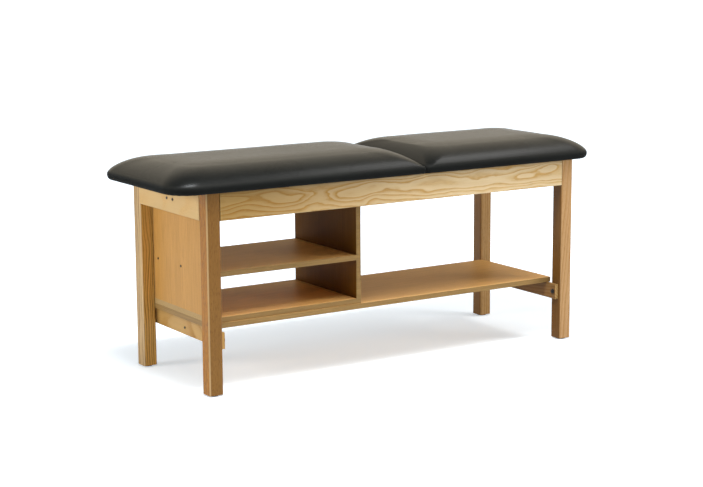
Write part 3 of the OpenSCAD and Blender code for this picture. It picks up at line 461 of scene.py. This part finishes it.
def soft_vinyl(name, tone):
    """Black upholstery vinyl: fine leather print, a satin skin, slightly polished where people lie."""
    g = material_graph(name)
    spot = g.place()
    bent = g.vector("ADD", spot, g.stretch(g.noise(spot, 260.0, out="Color"), 0.0016))
    cells = g.node("ShaderNodeTexVoronoi", {"Vector": bent, "Scale": 620.0}, feature="DISTANCE_TO_EDGE")
    leather = g.ramp(cells.outputs["Distance"], [(0.0, 0.0), (0.16, 0.8), (0.5, 1.0)])
    cloud = g.noise(spot, 2.4, 3.0, 0.55)
    base = g.laid(tone, toned(tone, 1.8), cloud, 0.35, 0.68, 0.55)
    base = g.mix(g.times(g.math("SUBTRACT", 1.0, leather), 0.5), base, toned(tone, 0.55))
    base, rounded, _ = g.rubbed(base, toned(tone, 2.4), 0.003, 0.35)
    # the skin is duller towards the lower edge
    height = g.times(g.math("SUBTRACT", g.split(spot)[2], UNDERSIDE), 10.0)
    lip = g.ramp(height, [(0.18, 0.66), (0.36, 0.0)])
    rough = g.total(g.times(cloud, 0.12), g.times(leather, -0.05), 0.25, lip)
    pores = g.noise(spot, 2300.0, 2.0, 0.6)
    fine = g.bump(g.total(leather, g.times(pores, 0.25)), 0.00007, 0.55, rounded)
    return g.surface(base, rough, g.bump(g.drawn(spot, (5.0, 5.0, 9.0)), 0.0009, 0.35, fine),
                     IOR=1.21, Sheen_Weight=0.01, Sheen_Roughness=0.5)


# Upholstered sections

# heights in metres: the lower face, the widest level, the top of the crown, and the crown's rise
UNDERSIDE, WIDEST, TOP_H, CROWN_RISE = 0.707, 0.729, 0.794, 0.004
TOP_W = 0.610   # across both long sides
# where the foot section and the backrest start and end along the table
SECTIONS = {True: (-0.9145, 0.1085), False: (0.1135, 0.9145)}
# how far in from the widest level the lower face lies, and the rim of the flat at each side
EDGE_IN, END_TAPER, SIDE_TAPER, SEAM_TAPER = 0.014, 0.120, 0.128, 0.080
# rounding of the outer corners and of those at the seam, at the widest level and at the rim of the flat
CORNER_R, SEAM_R, FLAT_R, FLAT_SEAM_R = 0.099, 0.012, 0.070, 0.092
# bulge of the slopes, and how soon the corners at the seam grow round
SLOPE_POWER, SEAM_POWER, SEAM_SOFT = 1.7, 1.33, 0.42
# thickness of the vinyl and of the board, how far the vinyl is turned in, and the gap between two layers
VINYL, BOARD, TURNED_IN, HAIR = 0.0012, 0.016, 0.026, 0.0002
# faces up the edge and the slope, round half a corner, across the table, and along each section
EDGE_LEVELS, SLOPE_LEVELS, ARC, RUN_W, RUN_L = 6, 18, 8, 40, {True: 84, False: 64}
CROWN_REACH = 0.095   # from the rim of the flat to where the crown is level
# gathers in a full turn, and the first and last level that has them
GATHERS, GATHER_LEVELS = 44, (4, 11)
# size of a staple's crown, its bevel, its middle's height over the lower face, and the space left at the seam
STAPLE, STAPLE_BEVEL, STAPLE_SUNK, SEAM_CLEAR = (0.0105, 0.0011, 0.0005), 0.00012, 0.00015, 0.03
SMOOTH_ANGLE = math.radians(55)
CLOTH = {"quality": 6, "mass": 0.35, "tension_stiffness": 28.0, "compression_stiffness": 28.0,
         "shear_stiffness": 10.0, "bending_stiffness": 2.0, "use_pressure": True, "vertex_group_mass": "held"}


def pad_levels(tuck):
    """Levels of a section from the recess round its board, over the edge, to the rim of the flat.

    Each is (height, inset at the end, at the sides, at the seam, outer radius, seam radius, softness).
    """
    board_in, board_seam = EDGE_IN + VINYL + 0.0008, VINYL + 0.0015
    turned, half_turned = EDGE_IN + TURNED_IN, EDGE_IN + TURNED_IN / 2
    board = (board_in, board_in, board_seam, CORNER_R - board_in, SEAM_R - board_seam, 0.0)
    inner = (turned, turned, TURNED_IN, CORNER_R - turned, 0.002, 0.0)
    levels = [(UNDERSIDE + BOARD + HAIR, *board), (UNDERSIDE + BOARD * 0.55, *board),
              (UNDERSIDE + VINYL + HAIR, *board), (UNDERSIDE + VINYL + HAIR / 2, *inner), (UNDERSIDE, *inner),
              (UNDERSIDE, half_turned, half_turned, TURNED_IN / 2, CORNER_R - half_turned, SEAM_R / 2, 0.0)]
    for i in range(EDGE_LEVELS + 1):
        turn = math.radians(90 * i / EDGE_LEVELS)
        inset = EDGE_IN * (1 - math.sin(turn))
        soft = (i / EDGE_LEVELS) ** 2
        side = inset + tuck * soft * 0.6
        levels.append((blend(UNDERSIDE, WIDEST, 1 - math.cos(turn)), side, side, tuck * soft * 0.2,
                       CORNER_R - inset, SEAM_R, soft * 0.7))
    for i in range(1, SLOPE_LEVELS + 1):
        turn = math.radians(90 * i / SLOPE_LEVELS)
        h = math.sin(turn) ** (2 / SLOPE_POWER)
        d = 1 - max(math.cos(turn), 0.0) ** (2 / SLOPE_POWER)
        s = 1 - max(1 - h ** SEAM_POWER, 0.0) ** (1 / SEAM_POWER)
        low = tuck * (1 - h)
        levels.append((blend(WIDEST, TOP_H - CROWN_RISE, h) - tuck * h, END_TAPER * d + low * 0.6,
                       SIDE_TAPER * d + low * 0.6, SEAM_TAPER * s + low * 0.2,
                       blend(CORNER_R, FLAT_R, d), blend(SEAM_R, FLAT_SEAM_R, d ** SEAM_SOFT), 1.0))
    return levels


def pad_ring(foot, level):
    """Points of one level, counter-clockwise, from the middle of the corner at the low x, low y."""
    _, end, side, seam, outer, inner, _ = level
    x0, x1 = SECTIONS[foot]
    xa, xb = (x0 + end, x1 - seam) if foot else (x0 + seam, x1 - end)
    ra, rb = (outer, inner) if foot else (inner, outer)
    half = TOP_W / 2 - side
    corners = [(xa + ra, -half + ra, ra, 180), (xb - rb, -half + rb, rb, 270),
               (xb - rb, half - rb, rb, 0), (xa + ra, half - ra, ra, 90)]

    def arc(corner, start, stop):
        cx, cy, r, first = corner
        turns = [math.radians(first + 90 * k / (2 * ARC)) for k in range(start, stop)]
        return [(cx + r * math.cos(turn), cy + r * math.sin(turn)) for turn in turns]

    points = []
    for number in range(4):
        here, there = corners[number], corners[(number + 1) % 4]
        run = RUN_L[foot] if number % 2 == 0 else RUN_W
        first = arc(here, ARC, 2 * ARC + 1)
        last = arc(there, 0, ARC)
        points += first
        a, b = first[-1], last[0]
        points += [(blend(a[0], b[0], k / run), blend(a[1], b[1], k / run)) for k in range(1, run)]
        points += last
    return points


def patch(ring, run_l):
    """Inner points of a level, row by row, spread evenly between its four sides."""
    nu, nv = run_l + 2 * ARC, RUN_W + 2 * ARC
    low, right = ring[:nu + 1], ring[nu:nu + nv + 1]
    high, left = ring[nu + nv:2 * nu + nv + 1][::-1], (ring[2 * nu + nv:] + ring[:1])[::-1]

    def inner(i, j, c):
        u, v = i / nu, j / nv
        sides = (1 - v) * low[i][c] + v * high[i][c] + (1 - u) * left[j][c] + u * right[j][c]
        ends = ((1 - u) * (1 - v) * low[0][c] + u * (1 - v) * low[-1][c]
                + (1 - u) * v * high[0][c] + u * v * high[-1][c])
        return sides - ends

    return [[(inner(i, j, 0), inner(i, j, 1)) for i in range(1, nu)] for j in range(1, nv)]


def cap_faces(ring_ids, rows_ids, run_l, flip):
    """Quads between a ring and its inner rows."""
    nu, nv = run_l + 2 * ARC, RUN_W + 2 * ARC
    total = 2 * (nu + nv)

    def at(i, j):
        if j == 0:
            return ring_ids[i]
        if j == nv:
            return ring_ids[(2 * nu + nv - i) % total]
        if i == 0:
            return ring_ids[(total - j) % total]
        if i == nu:
            return ring_ids[nu + j]
        return rows_ids[j - 1][i - 1]

    faces = []
    for j in range(nv):
        for i in range(nu):
            quad = (at(i, j), at(i + 1, j), at(i + 1, j + 1), at(i, j + 1))
            faces.append(tuple(reversed(quad)) if flip else quad)
    return faces


def rim_inset(foot, x, y):
    """How far a point of the flat lies inside its rim, round the corners too."""
    x0, x1 = SECTIONS[foot]
    from_end = x - x0 - END_TAPER if foot else x1 - END_TAPER - x
    from_seam = x1 - SEAM_TAPER - x if foot else x - x0 - SEAM_TAPER
    in_x, radius = min((from_end, FLAT_R), (from_seam, FLAT_SEAM_R))
    in_y = TOP_W / 2 - SIDE_TAPER - abs(y)
    if in_x < radius and in_y < radius:
        return radius - math.hypot(radius - in_x, radius - in_y)
    return min(in_x, in_y)


def gather(foot, number, x, y):
    """How deep the vinyl is gathered where it is pulled round the outer corners, from 0 to 1."""
    first, last = GATHER_LEVELS
    x0, x1 = SECTIONS[foot]
    dx = x0 + CORNER_R - x if foot else x - (x1 - CORNER_R)
    dy = abs(y) - (TOP_W / 2 - CORNER_R)
    if not first <= number <= last or dx <= 0 or dy <= 0:
        return 0.0
    turn = math.atan2(dy, dx)
    weight = math.sin(2 * turn) * min(1.0, (last + 1 - number) / 5)
    fold = (0.5 - 0.5 * math.cos(turn * GATHERS)) ** 2
    return weight * fold * (0.35 if number < first + 2 else 1.0)


def pad_mesh(name, foot, sizes):
    """Closed form of a section, with the recess that its board sits in, before it swells."""
    levels = pad_levels(sizes.tuck)
    run_l = RUN_L[foot]
    verts, soft, rings = [], [], []
    for number, level in enumerate(levels):
        ring = pad_ring(foot, level)
        rings.append(list(range(len(verts), len(verts) + len(ring))))
        verts += [(x, y, level[0] - sizes.pleat * gather(foot, number, x, y)) for x, y in ring]
        soft += [level[6]] * len(ring)
    faces = []
    for a, b in zip(rings[:-1], rings[1:]):
        faces += zip(a, a[1:] + a[:1], b[1:] + b[:1], b)
    # the bottom of the recess, and the crowned flat
    for level, ids, top in ((levels[0], rings[0], False), (levels[-1], rings[-1], True)):
        rows = patch([verts[i][:2] for i in ids], run_l)
        rows_ids = []
        for row in rows:
            row_ids = []
            for x, y in row:
                z = level[0]
                if top:
                    k = min(max(rim_inset(foot, x, y), 0.0) / CROWN_REACH, 1.0)
                    z += CROWN_RISE * (1 - (1 - k) ** 2)
                row_ids.append(len(verts))
                verts.append((x, y, z))
                soft.append(1.0 if top else 0.0)
            rows_ids.append(row_ids)
        faces += cap_faces(ids, rows_ids, run_l, not top)
    mesh = bpy.data.meshes.new(name)
    mesh.from_pydata(verts, [], faces)
    mesh.validate()
    obj = bpy.data.objects.new(name, mesh)
    bpy.context.scene.collection.objects.link(obj)
    held = obj.vertex_groups.new(name="held")
    for index, softness in enumerate(soft):
        if softness < 1.0:
            held.add([index], 1.0 - softness, "REPLACE")
    return obj, soft


def swell(obj, soft, sizes):
    """Lets the foam push the vinyl out, and keeps each point's move inside the limit."""
    rest = [v.co.copy() for v in obj.data.vertices]
    cloth = obj.modifiers.new("Foam", "CLOTH")
    for key, value in CLOTH.items():
        setattr(cloth.settings, key, value)
    cloth.settings.uniform_pressure_force = sizes.pressure
    cloth.settings.effector_weights.gravity = 0.0
    cloth.collision_settings.use_collision = False
    cloth.point_cache.frame_start, cloth.point_cache.frame_end = 1, sizes.frames
    for number in range(1, sizes.frames + 1):
        bpy.context.scene.frame_set(number)
    shaped = obj.evaluated_get(bpy.context.evaluated_depsgraph_get())
    moved = [v.co.copy() for v in shaped.data.vertices]
    obj.modifiers.remove(cloth)
    bpy.context.scene.frame_set(1)
    limit = sizes.swell
    steps = []
    for a, b, softness in zip(rest, moved, soft):
        step = (b - a) * softness
        if step.length > 1e-9:
            step *= limit * math.tanh(step.length / limit) / step.length
        steps.append(step)
    # firm foam and stretched vinyl: the small creases of the cloth are drawn flat
    near = [[] for _ in steps]
    for edge in obj.data.edges:
        a, b = edge.vertices
        near[a].append(b)
        near[b].append(a)
    for _ in range(sizes.calm):
        means = [sum((steps[n] for n in beside), Vector()) / len(beside) for beside in near]
        steps = [(step + mean) * 0.5 * min(1.0, 0.2 + softness) if softness > 0 else step
                 for step, mean, softness in zip(steps, means, soft)]
    for vertex, a, step in zip(obj.data.vertices, rest, steps):
        vertex.co = a + step
    obj.data.update()


def refine(obj):
    """One subdivision, smooth shading and outward faces."""
    bpy.ops.object.select_all(action="DESELECT")
    obj.select_set(True)
    bpy.context.view_layer.objects.active = obj
    finer = obj.modifiers.new("Finer", "SUBSURF")
    finer.levels = finer.render_levels = 1
    bpy.ops.object.modifier_apply(modifier=finer.name)
    obj.vertex_groups.clear()
    mesh = bmesh.new()
    mesh.from_mesh(obj.data)
    bmesh.ops.recalc_face_normals(mesh, faces=mesh.faces)
    mesh.to_mesh(obj.data)
    mesh.free()
    bpy.ops.object.shade_smooth_by_angle(angle=SMOOTH_ANGLE)
    obj.select_set(False)


def one_staple():
    """Crown of a staple, pressed flush into the turned vinyl."""
    bpy.ops.object.select_all(action="DESELECT")
    bpy.ops.mesh.primitive_cube_add(size=1.0)
    staple = bpy.context.active_object
    staple.scale = STAPLE
    bpy.ops.object.transform_apply(location=False, rotation=False, scale=True)
    bpy.ops.object.mode_set(mode="EDIT")
    bpy.ops.mesh.select_all(action="SELECT")
    bpy.ops.mesh.bevel(offset=STAPLE_BEVEL, segments=1)
    bpy.ops.object.mode_set(mode="OBJECT")
    return staple


def staple_places(foot, pitch, inset):
    """Middle and turn of each staple, along the turned edge of a section."""
    x0, x1 = SECTIONS[foot]
    low, high = (x0 + EDGE_IN + inset, x1 - inset) if foot else (x0 + inset, x1 - EDGE_IN - inset)
    side = TOP_W / 2 - EDGE_IN - inset
    bend = CORNER_R - EDGE_IN - inset
    way = -1 if foot else 1   # from the seam to the outer end
    bend_x = low + bend if foot else high - bend
    start, stop = (bend_x, high - SEAM_CLEAR) if foot else (low + SEAM_CLEAR, bend_x)
    places = []
    for sign in (-1, 1):
        count = round((stop - start) / pitch)
        places += [(blend(start, stop, k / count), sign * side, 0.0) for k in range(count + 1)]
        for turn in (math.radians(90 * k / 4) for k in (1, 2, 3)):
            places.append((bend_x + way * bend * math.sin(turn), sign * (side - bend * (1 - math.cos(turn))),
                           -way * sign * turn))
    for x in (low, high):
        reach = side - (bend if (x == low) == foot else SEAM_CLEAR)
        count = round(2 * reach / pitch)
        places += [(x, blend(-reach, reach, k / count), math.pi / 2) for k in range(count + 1)]
    return places


def staple_rows(name, foot, sizes, steel):
    """All the staples of a section as one piece."""
    first = one_staple()
    height = UNDERSIDE + STAPLE_SUNK
    for x, y, turn in staple_places(foot, sizes.staple_pitch, sizes.staple_in):
        copy = first.copy()
        copy.data = first.data.copy()
        copy.data.transform(Matrix.Translation((x, y, height)) @ Matrix.Rotation(turn, 4, "Z"))
        bpy.context.scene.collection.objects.link(copy)
        copy.select_set(True)
    first.select_set(False)
    bpy.context.view_layer.objects.active = copy
    bpy.ops.object.join()
    rows = bpy.context.active_object
    bpy.data.objects.remove(first)
    rows.name = name
    rows.data.materials.clear()
    rows.data.materials.append(steel)
    rows.select_set(False)
    return rows


def settings():
    return bpy.context.scene.treatment_table


class TABLE_OT_pads(bpy.types.Operator):
    """Makes the two upholstered sections and puts them in place of their plain solids"""
    bl_idname = "treatment_table.pads"
    bl_label = "Upholstered Sections"
    bl_options = {"REGISTER", "UNDO"}

    def execute(self, context):
        sizes = settings().pads
        cover = soft_vinyl("black_vinyl", tuple(settings().finishes.vinyl))
        for foot, word, body in ((True, "foot", "frame"), (False, "backrest", "backrest")):
            pad, soft = pad_mesh(word + "_pad", foot, sizes)
            if sizes.simulate:
                swell(pad, soft, sizes)
            refine(pad)
            if not pad.data.polygons:
                raise RuntimeError(pad.name + " has no faces")
            pad.data.materials.append(cover)
            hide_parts(word + "_cover", word + "_foam")
            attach(pad, body)
        return {"FINISHED"}


class TABLE_OT_staples(bpy.types.Operator):
    """Makes the staples that hold the turned vinyl under each section"""
    bl_idname = "treatment_table.staples"
    bl_label = "Staples"
    bl_options = {"REGISTER", "UNDO"}

    def execute(self, context):
        steel = plated_steel("staple_steel", (0.55, 0.55, 0.54), 0.30)
        for foot, name, body in ((True, "foot_staples", "frame"), (False, "backrest_staples", "backrest")):
            rows = staple_rows(name, foot, settings().pads, steel)
            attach(rows, body)
        return {"FINISHED"}


FOOT_WAY, FRONT_WAY, CORNER_WAY = (-1.0, 0.0, 0.0), (0.0, -1.0, 0.0), (-0.707, -0.707, 0.0)
CONTACT_SHADE_REACH = 0.040   # reach of the painted contact shade next to another piece

# how each piece of the frame is cut from its tree, what its colour and figure have of their own, and the
# shade and highlights painted on some of its faces
BOARDS = {
    "front_rail": dict(
        grain="X", pith=(-0.32, -0.250, 0.668), lean=(0.010, 0.008), year=0.0106, wander=0.019, drift=6.2,
        # mellow: darker wood and painted shade towards the foot end
        bold=1.0, tint=(0.946, 0.974, 1.09), darker_wood_and_shade=(0.25, -0.66, (0.567, 0.459, 0.253)),
        eyes=((-0.344, -0.283, 0.655, 0.055, 0.042, 0.017), (-0.113, -0.283, 0.632, 0.038, 0.018, 0.012),
              (0.385, -0.283, 0.672, 0.070, 0.016, 0.010), (0.700, -0.283, 0.692, 0.060, 0.020, -0.012))),
    "rear_rail": dict(
        grain="X", pith=(0.25, 0.245, 0.655), lean=(-0.012, 0.010), year=0.0100, wander=0.013, drift=6.2,
        bold=1.0, eyes=((-0.36, 0.283, 0.66, 0.07, 0.035, 0.014), (0.30, 0.283, 0.65, 0.06, 0.03, 0.012))),
    "foot_end_rail": dict(
        grain="Y", pith=(0.1, -0.60, 0.665), lean=(0.03, 0.05), year=0.0075, wander=0.007,
        tint=(0.82, 0.735, 0.575), faint=0.35),
    "head_end_rail": dict(grain="Y", pith=(0.725, 0.66, 0.600), lean=(0.04, 0.03)),
    "seam_rail": dict(grain="Y", pith=(0.150, 0.36, 0.60)),
    "spreader_rail": dict(grain="Y", pith=(0.55, 0.42, 0.56)),
    "unit_cross_rail": dict(grain="Y", pith=(-0.20, -0.45, 0.60)),
    "foot_stretcher": dict(
        grain="Y", pith=(-0.10, -0.705, 0.195), lean=(-0.05, 0.06), year=0.0075, wander=0.012,
        tint=(0.65, 0.52, 0.31)),
    # its face towards the foot carries painted shade
    "head_stretcher": dict(
        grain="Y", pith=(0.790, 0.80, 0.215), lean=(0.04, 0.05), year=0.0080,
        tint=(0.60, 0.50, 0.36), sides=((FOOT_WAY, (0.50, 0.42, 0.34)),)),
    "end_rail_spacer": dict(grain="Y", pith=(0.0, -0.70, 0.60), year=0.0075, wander=0.010),
    "corner_blocks": dict(grain="Z", pith=(0.5, 0.70, 0.10), year=0.0065, wander=0.008),
    "leg_foot_front": dict(
        grain="Z", pith=(0.30, -0.715, -0.195), lean=(0.030, 0.034), year=0.0050, wander=0.013, drift=3.4,
        tint=(0.64, 0.51, 0.34), sides=((FOOT_WAY, (1.10, 0.89, 0.22)), (FRONT_WAY, (0.72, 0.68, 0.50))),
        # eased: a painted highlight on the corner that faces the foot end and the front
        painted_edge_highlight=(CORNER_WAY, (0.42, 0.27, 0.125)), fleck=0.60),
    "leg_foot_rear": dict(
        grain="Z", pith=(0.46, -0.756, 0.222), lean=(0.030, 0.045), year=0.0080, wander=0.013, drift=5.0,
        tint=(1.06, 0.98, 0.82), deep=0.50,
        sides=((FOOT_WAY, (1.0, 1.10, 1.30)), (FRONT_WAY, (1.42, 1.34, 0.92))),
        # eased: a painted highlight on the corner that faces the foot end and the front
        painted_edge_highlight=(CORNER_WAY, (0.62, 0.44, 0.24)), fleck=0.12),
    "leg_head_front": dict(
        grain="Z", pith=(0.38, 0.790, -0.215), lean=(-0.014, 0.030), year=0.0070, wander=0.009,
        # its face towards the foot carries painted shade
        tint=(0.95, 0.88, 0.88), sides=((FOOT_WAY, (0.30, 0.225, 0.09)),), fleck=0.20),
    "leg_head_rear": dict(
        grain="Z", pith=(0.30, 0.745, 0.235), lean=(0.018, 0.016), year=0.0066, wander=0.008,
        # its face towards the foot carries painted shade
        tint=(0.90, 0.86, 0.78), sides=((FOOT_WAY, (0.50, 0.42, 0.31)),), fleck=0.25),
}


class TABLE_OT_ash_finish(bpy.types.Operator):
    """Gives the rails, legs and stretchers their ash"""
    bl_idname = "treatment_table.ash_finish"
    bl_label = "Ash Frame"
    bl_options = {"REGISTER", "UNDO"}

    def execute(self, context):
        tones = settings().finishes
        for node, cut in BOARDS.items():
            if node.startswith("leg"):
                pale, line, close = tuple(tones.leg_pale), tuple(tones.leg_line), 0.0
            else:
                pale, line, close = tuple(tones.ash_pale), tuple(tones.ash_line), CONTACT_SHADE_REACH
            finish(node, ash("ash_" + node, pale, line, close=close, **cut))
        return {"FINISHED"}


class TABLE_OT_board_finish(bpy.types.Operator):
    """Gives the shelves, the end panel, the bands and the boards under the pads their finish"""
    bl_idname = "treatment_table.board_finish"
    bl_label = "Shelves and Boards"
    bl_options = {"REGISTER", "UNDO"}

    def execute(self, context):
        tones = settings().finishes
        shelf = tuple(tones.shelf)
        # the divider is a darker copy of the shelf laminate: painted shade
        shade = toned(shelf, (0.21, 0.15, 0.035))
        finishes = {
            laminate("shelf_laminate", "X", shelf, 0.12, 0.6, 0.46, 1.14, tuple(tones.shelf_end)):
                ("long_shelf", "unit_base", "unit_middle_shelf"),
            laminate("divider_laminate", "Z", shade, 0.12, 0.6, 0.50, 1.12): ("unit_divider",),
            laminate("panel_laminate", "Z", tuple(tones.panel), 0.15, 0.7, 0.40, 1.2): ("unit_end_panel",),
            edge_band("shelf_edge_band", tuple(tones.band)): ("long_shelf_bands", "unit_bands"),
            plywood("birch_plywood", tuple(tones.plywood)): ("foot_board", "backrest_board"),
            ash("beech_dowel", (0.55, 0.38, 0.22), (0.42, 0.27, 0.14), "Y", (0.0, 0.3, 0.3), year=0.004,
                wander=0.004): ("rail_dowels", "cross_dowels", "unit_dowels"),
        }
        for material, nodes in finishes.items():
            for node in nodes:
                finish(node, material)
        return {"FINISHED"}


class TABLE_OT_steel_finish(bpy.types.Operator):
    """Gives the hinge, the prop, the screws and the glides their finish"""
    bl_idname = "treatment_table.steel_finish"
    bl_label = "Steel and Glides"
    bl_options = {"REGISTER", "UNDO"}

    def execute(self, context):
        tones = settings().finishes
        finishes = {"zinc_steel": plated_steel("zinc_steel", tuple(tones.zinc)),
                    "black_steel": plated_steel("black_steel", tuple(tones.dark_steel), 0.46, 0.7, 0.08),
                    "glide_plastic": glide_nylon("glide_nylon")}
        for part in frame["record"]["subparts"]:
            if part["material_slot"] in finishes:
                finish(part["node"], finishes[part["material_slot"]])
        return {"FINISHED"}


# place, aim, width, height, tint, and whether glossy surfaces show it: the two low softboxes light the
# wood, and leave no glare on the vinyl
LAMPS = {
    "overhead": ((-0.8, -1.3, 3.6), (0.0, 0.0, 0.4), 2.2, 1.5, (1.0, 0.985, 0.96), True),
    "front": ((4.6, -3.4, 1.9), (0.1, 0.0, 0.4), 2.0, 1.8, (1.0, 0.975, 0.94), False),
    "end": ((-4.2, 0.95, 1.5), (-0.8, 0.0, 0.45), 1.6, 1.5, (1.0, 0.98, 0.95), False),
    "strip": ((-0.95, -0.88, 3.45), (-0.85, -0.29, 0.74), 1.10, 0.22, (0.90, 0.955, 1.0), True),
    "slope": ((2.0, -0.50, 3.35), (0.1, -0.25, 0.75), 2.2, 1.4, (1.0, 0.99, 0.975), True),
}
# the backdrop from the horizon up: white, and dim where the studio's ceiling is
BACKDROP = ((0.02, (1.0, 1.0, 1.0)), (0.12, (0.97, 0.87, 0.69)), (0.60, (0.97, 0.85, 0.66)),
            (0.84, (0.10, 0.098, 0.095)))
ROOM_TONE, GLOW_TONE = (1.0, 0.985, 0.965), (0.93, 1.02, 1.10)
# the camera fitted to the photo: place in metres, turns in degrees, focal length and width in pixels
CAMERA_AT, CAMERA_TURNS = (-3.464792, -5.367734, 1.562246), (-32.652, -10.158, -0.341)
FOCAL, PHOTO_WIDTH, SENSOR = 1723.895, 703, 36.0


class TABLE_OT_stage(bpy.types.Operator):
    """Builds the pale floor, the soft lights, the room and the camera"""
    bl_idname = "treatment_table.stage"
    bl_label = "Studio"
    bl_options = {"REGISTER", "UNDO"}

    def execute(self, context):
        light = settings().stage
        scene = context.scene
        scene.view_settings.view_transform = "Standard"
        self.floor(light)
        self.room(scene, light)
        for name, (place, aim, width, height, tint, glossy) in LAMPS.items():
            lamp = self.lamp(name, place, aim, width, height, getattr(light, name), tint)
            lamp.visible_glossy = glossy
        self.camera(scene)
        return {"FINISHED"}

    def floor(self, light):
        bpy.ops.object.select_all(action="DESELECT")
        bpy.ops.mesh.primitive_plane_add(size=light.floor_size, location=(0.0, 0.0, 0.0))
        floor = bpy.context.active_object
        floor.name = "studio_floor"
        g = material_graph("studio_floor")
        spot = g.place()
        tone = g.laid((0.730, 0.770, 0.805), (0.740, 0.780, 0.815), g.noise(spot, 6.0, 3.0), 0.35, 0.65)
        matt = g.node("ShaderNodeBsdfDiffuse", {"Color": tone}).outputs[0]
        # the floor is white to the camera, and whiter still away from the table
        far = g.ramp(g.times(g.vector("LENGTH", spot), 0.1), [(0.12, 0.0), (0.26, 1.0)])
        level = g.total(g.times(far, 0.6), light.floor_glow)
        glow = g.node("ShaderNodeEmission", {"Color": GLOW_TONE, "Strength": level}).outputs[0]
        dim = g.node("ShaderNodeMixShader", {0: g.seen(), 2: glow}).outputs[0]
        both = g.node("ShaderNodeAddShader", {0: matt, 1: dim}).outputs[0]
        g.node("ShaderNodeOutputMaterial", {0: both})
        floor.data.materials.append(g.holder)

    def room(self, scene, light):
        g = Graph(bpy.data.worlds.new("studio_room"))
        scene.world = g.holder
        soft = g.node("ShaderNodeBackground", {"Color": ROOM_TONE, "Strength": light.ambient}).outputs[0]
        high = g.split(g.node("ShaderNodeTexCoord").outputs["Generated"])[2]
        white = g.node("ShaderNodeBackground", {"Color": g.ramp(high, BACKDROP)}).outputs[0]
        pick = g.node("ShaderNodeMixShader", {0: g.seen(), 1: soft, 2: white}).outputs[0]
        g.node("ShaderNodeOutputWorld", {0: pick})

    def lamp(self, name, place, aim, width, height, energy, tint):
        data = bpy.data.lights.new(name, "AREA")
        data.shape = "RECTANGLE"
        data.size, data.size_y = width, height
        data.energy = energy
        data.color = tint
        lamp = bpy.data.objects.new(name, data)
        bpy.context.scene.collection.objects.link(lamp)
        way = Vector(aim) - Vector(place)
        lamp.matrix_world = Matrix.Translation(place) @ way.to_track_quat("-Z", "Y").to_matrix().to_4x4()
        return lamp

    def camera(self, scene):
        yaw, pitch, roll = (math.radians(turn) for turn in CAMERA_TURNS)
        ahead = Vector((-math.sin(yaw) * math.cos(pitch), math.cos(yaw) * math.cos(pitch), math.sin(pitch)))
        right = Vector((math.cos(yaw), math.sin(yaw), 0.0))
        up = right.cross(ahead)
        side = right * math.cos(roll) + up * math.sin(roll)
        top = up * math.cos(roll) - right * math.sin(roll)
        data = bpy.data.cameras.new("camera")
        data.sensor_width = SENSOR
        data.lens = FOCAL / PHOTO_WIDTH * SENSOR
        data.clip_end = 300.0
        camera = bpy.data.objects.new("camera", data)
        turned = Matrix((side, top, -ahead)).transposed().to_4x4()
        camera.matrix_world = Matrix.Translation(CAMERA_AT) @ turned
        scene.collection.objects.link(camera)
        scene.camera = camera


class TABLE_PT_panel(bpy.types.Panel):
    """Lists the pieces, the finishes and their settings"""
    bl_idname = "TABLE_PT_panel"
    bl_label = "Treatment Table"
    bl_space_type = "VIEW_3D"
    bl_region_type = "UI"
    bl_category = "Treatment Table"

    def draw(self, context):
        table = context.scene.treatment_table
        groups = ((table.pads, (TABLE_OT_pads, TABLE_OT_staples)),
                  (table.finishes, (TABLE_OT_ash_finish, TABLE_OT_board_finish, TABLE_OT_steel_finish)),
                  (table.stage, (TABLE_OT_stage,)))
        for group, steps in groups:
            box = self.layout.box()
            for name in group.__annotations__:
                box.prop(group, name)
            for step in steps:
                box.operator(step.bl_idname)


class TableSettings(bpy.types.PropertyGroup):
    """All the settings of the table."""
    pads: PointerProperty(type=PadSettings)
    finishes: PointerProperty(type=FinishSettings)
    stage: PointerProperty(type=StageSettings)


CLASSES = (PadSettings, FinishSettings, StageSettings, TableSettings, TABLE_OT_pads, TABLE_OT_staples,
           TABLE_OT_ash_finish, TABLE_OT_board_finish, TABLE_OT_steel_finish, TABLE_OT_stage, TABLE_PT_panel)


def register():
    for each in CLASSES:
        bpy.utils.register_class(each)
    bpy.types.Scene.treatment_table = PointerProperty(type=TableSettings)


def unregister():
    del bpy.types.Scene.treatment_table
    for each in reversed(CLASSES):
        bpy.utils.unregister_class(each)


def plain(box):
    return [[float(value) for value in corner] for corner in box]


def main():
    register()
    bpy.ops.treatment_table.stage()
    bpy.ops.treatment_table.pads()
    bpy.ops.treatment_table.staples()
    bpy.ops.treatment_table.ash_finish()
    bpy.ops.treatment_table.board_finish()
    bpy.ops.treatment_table.steel_finish()


if __name__ == "__main__":
    main()
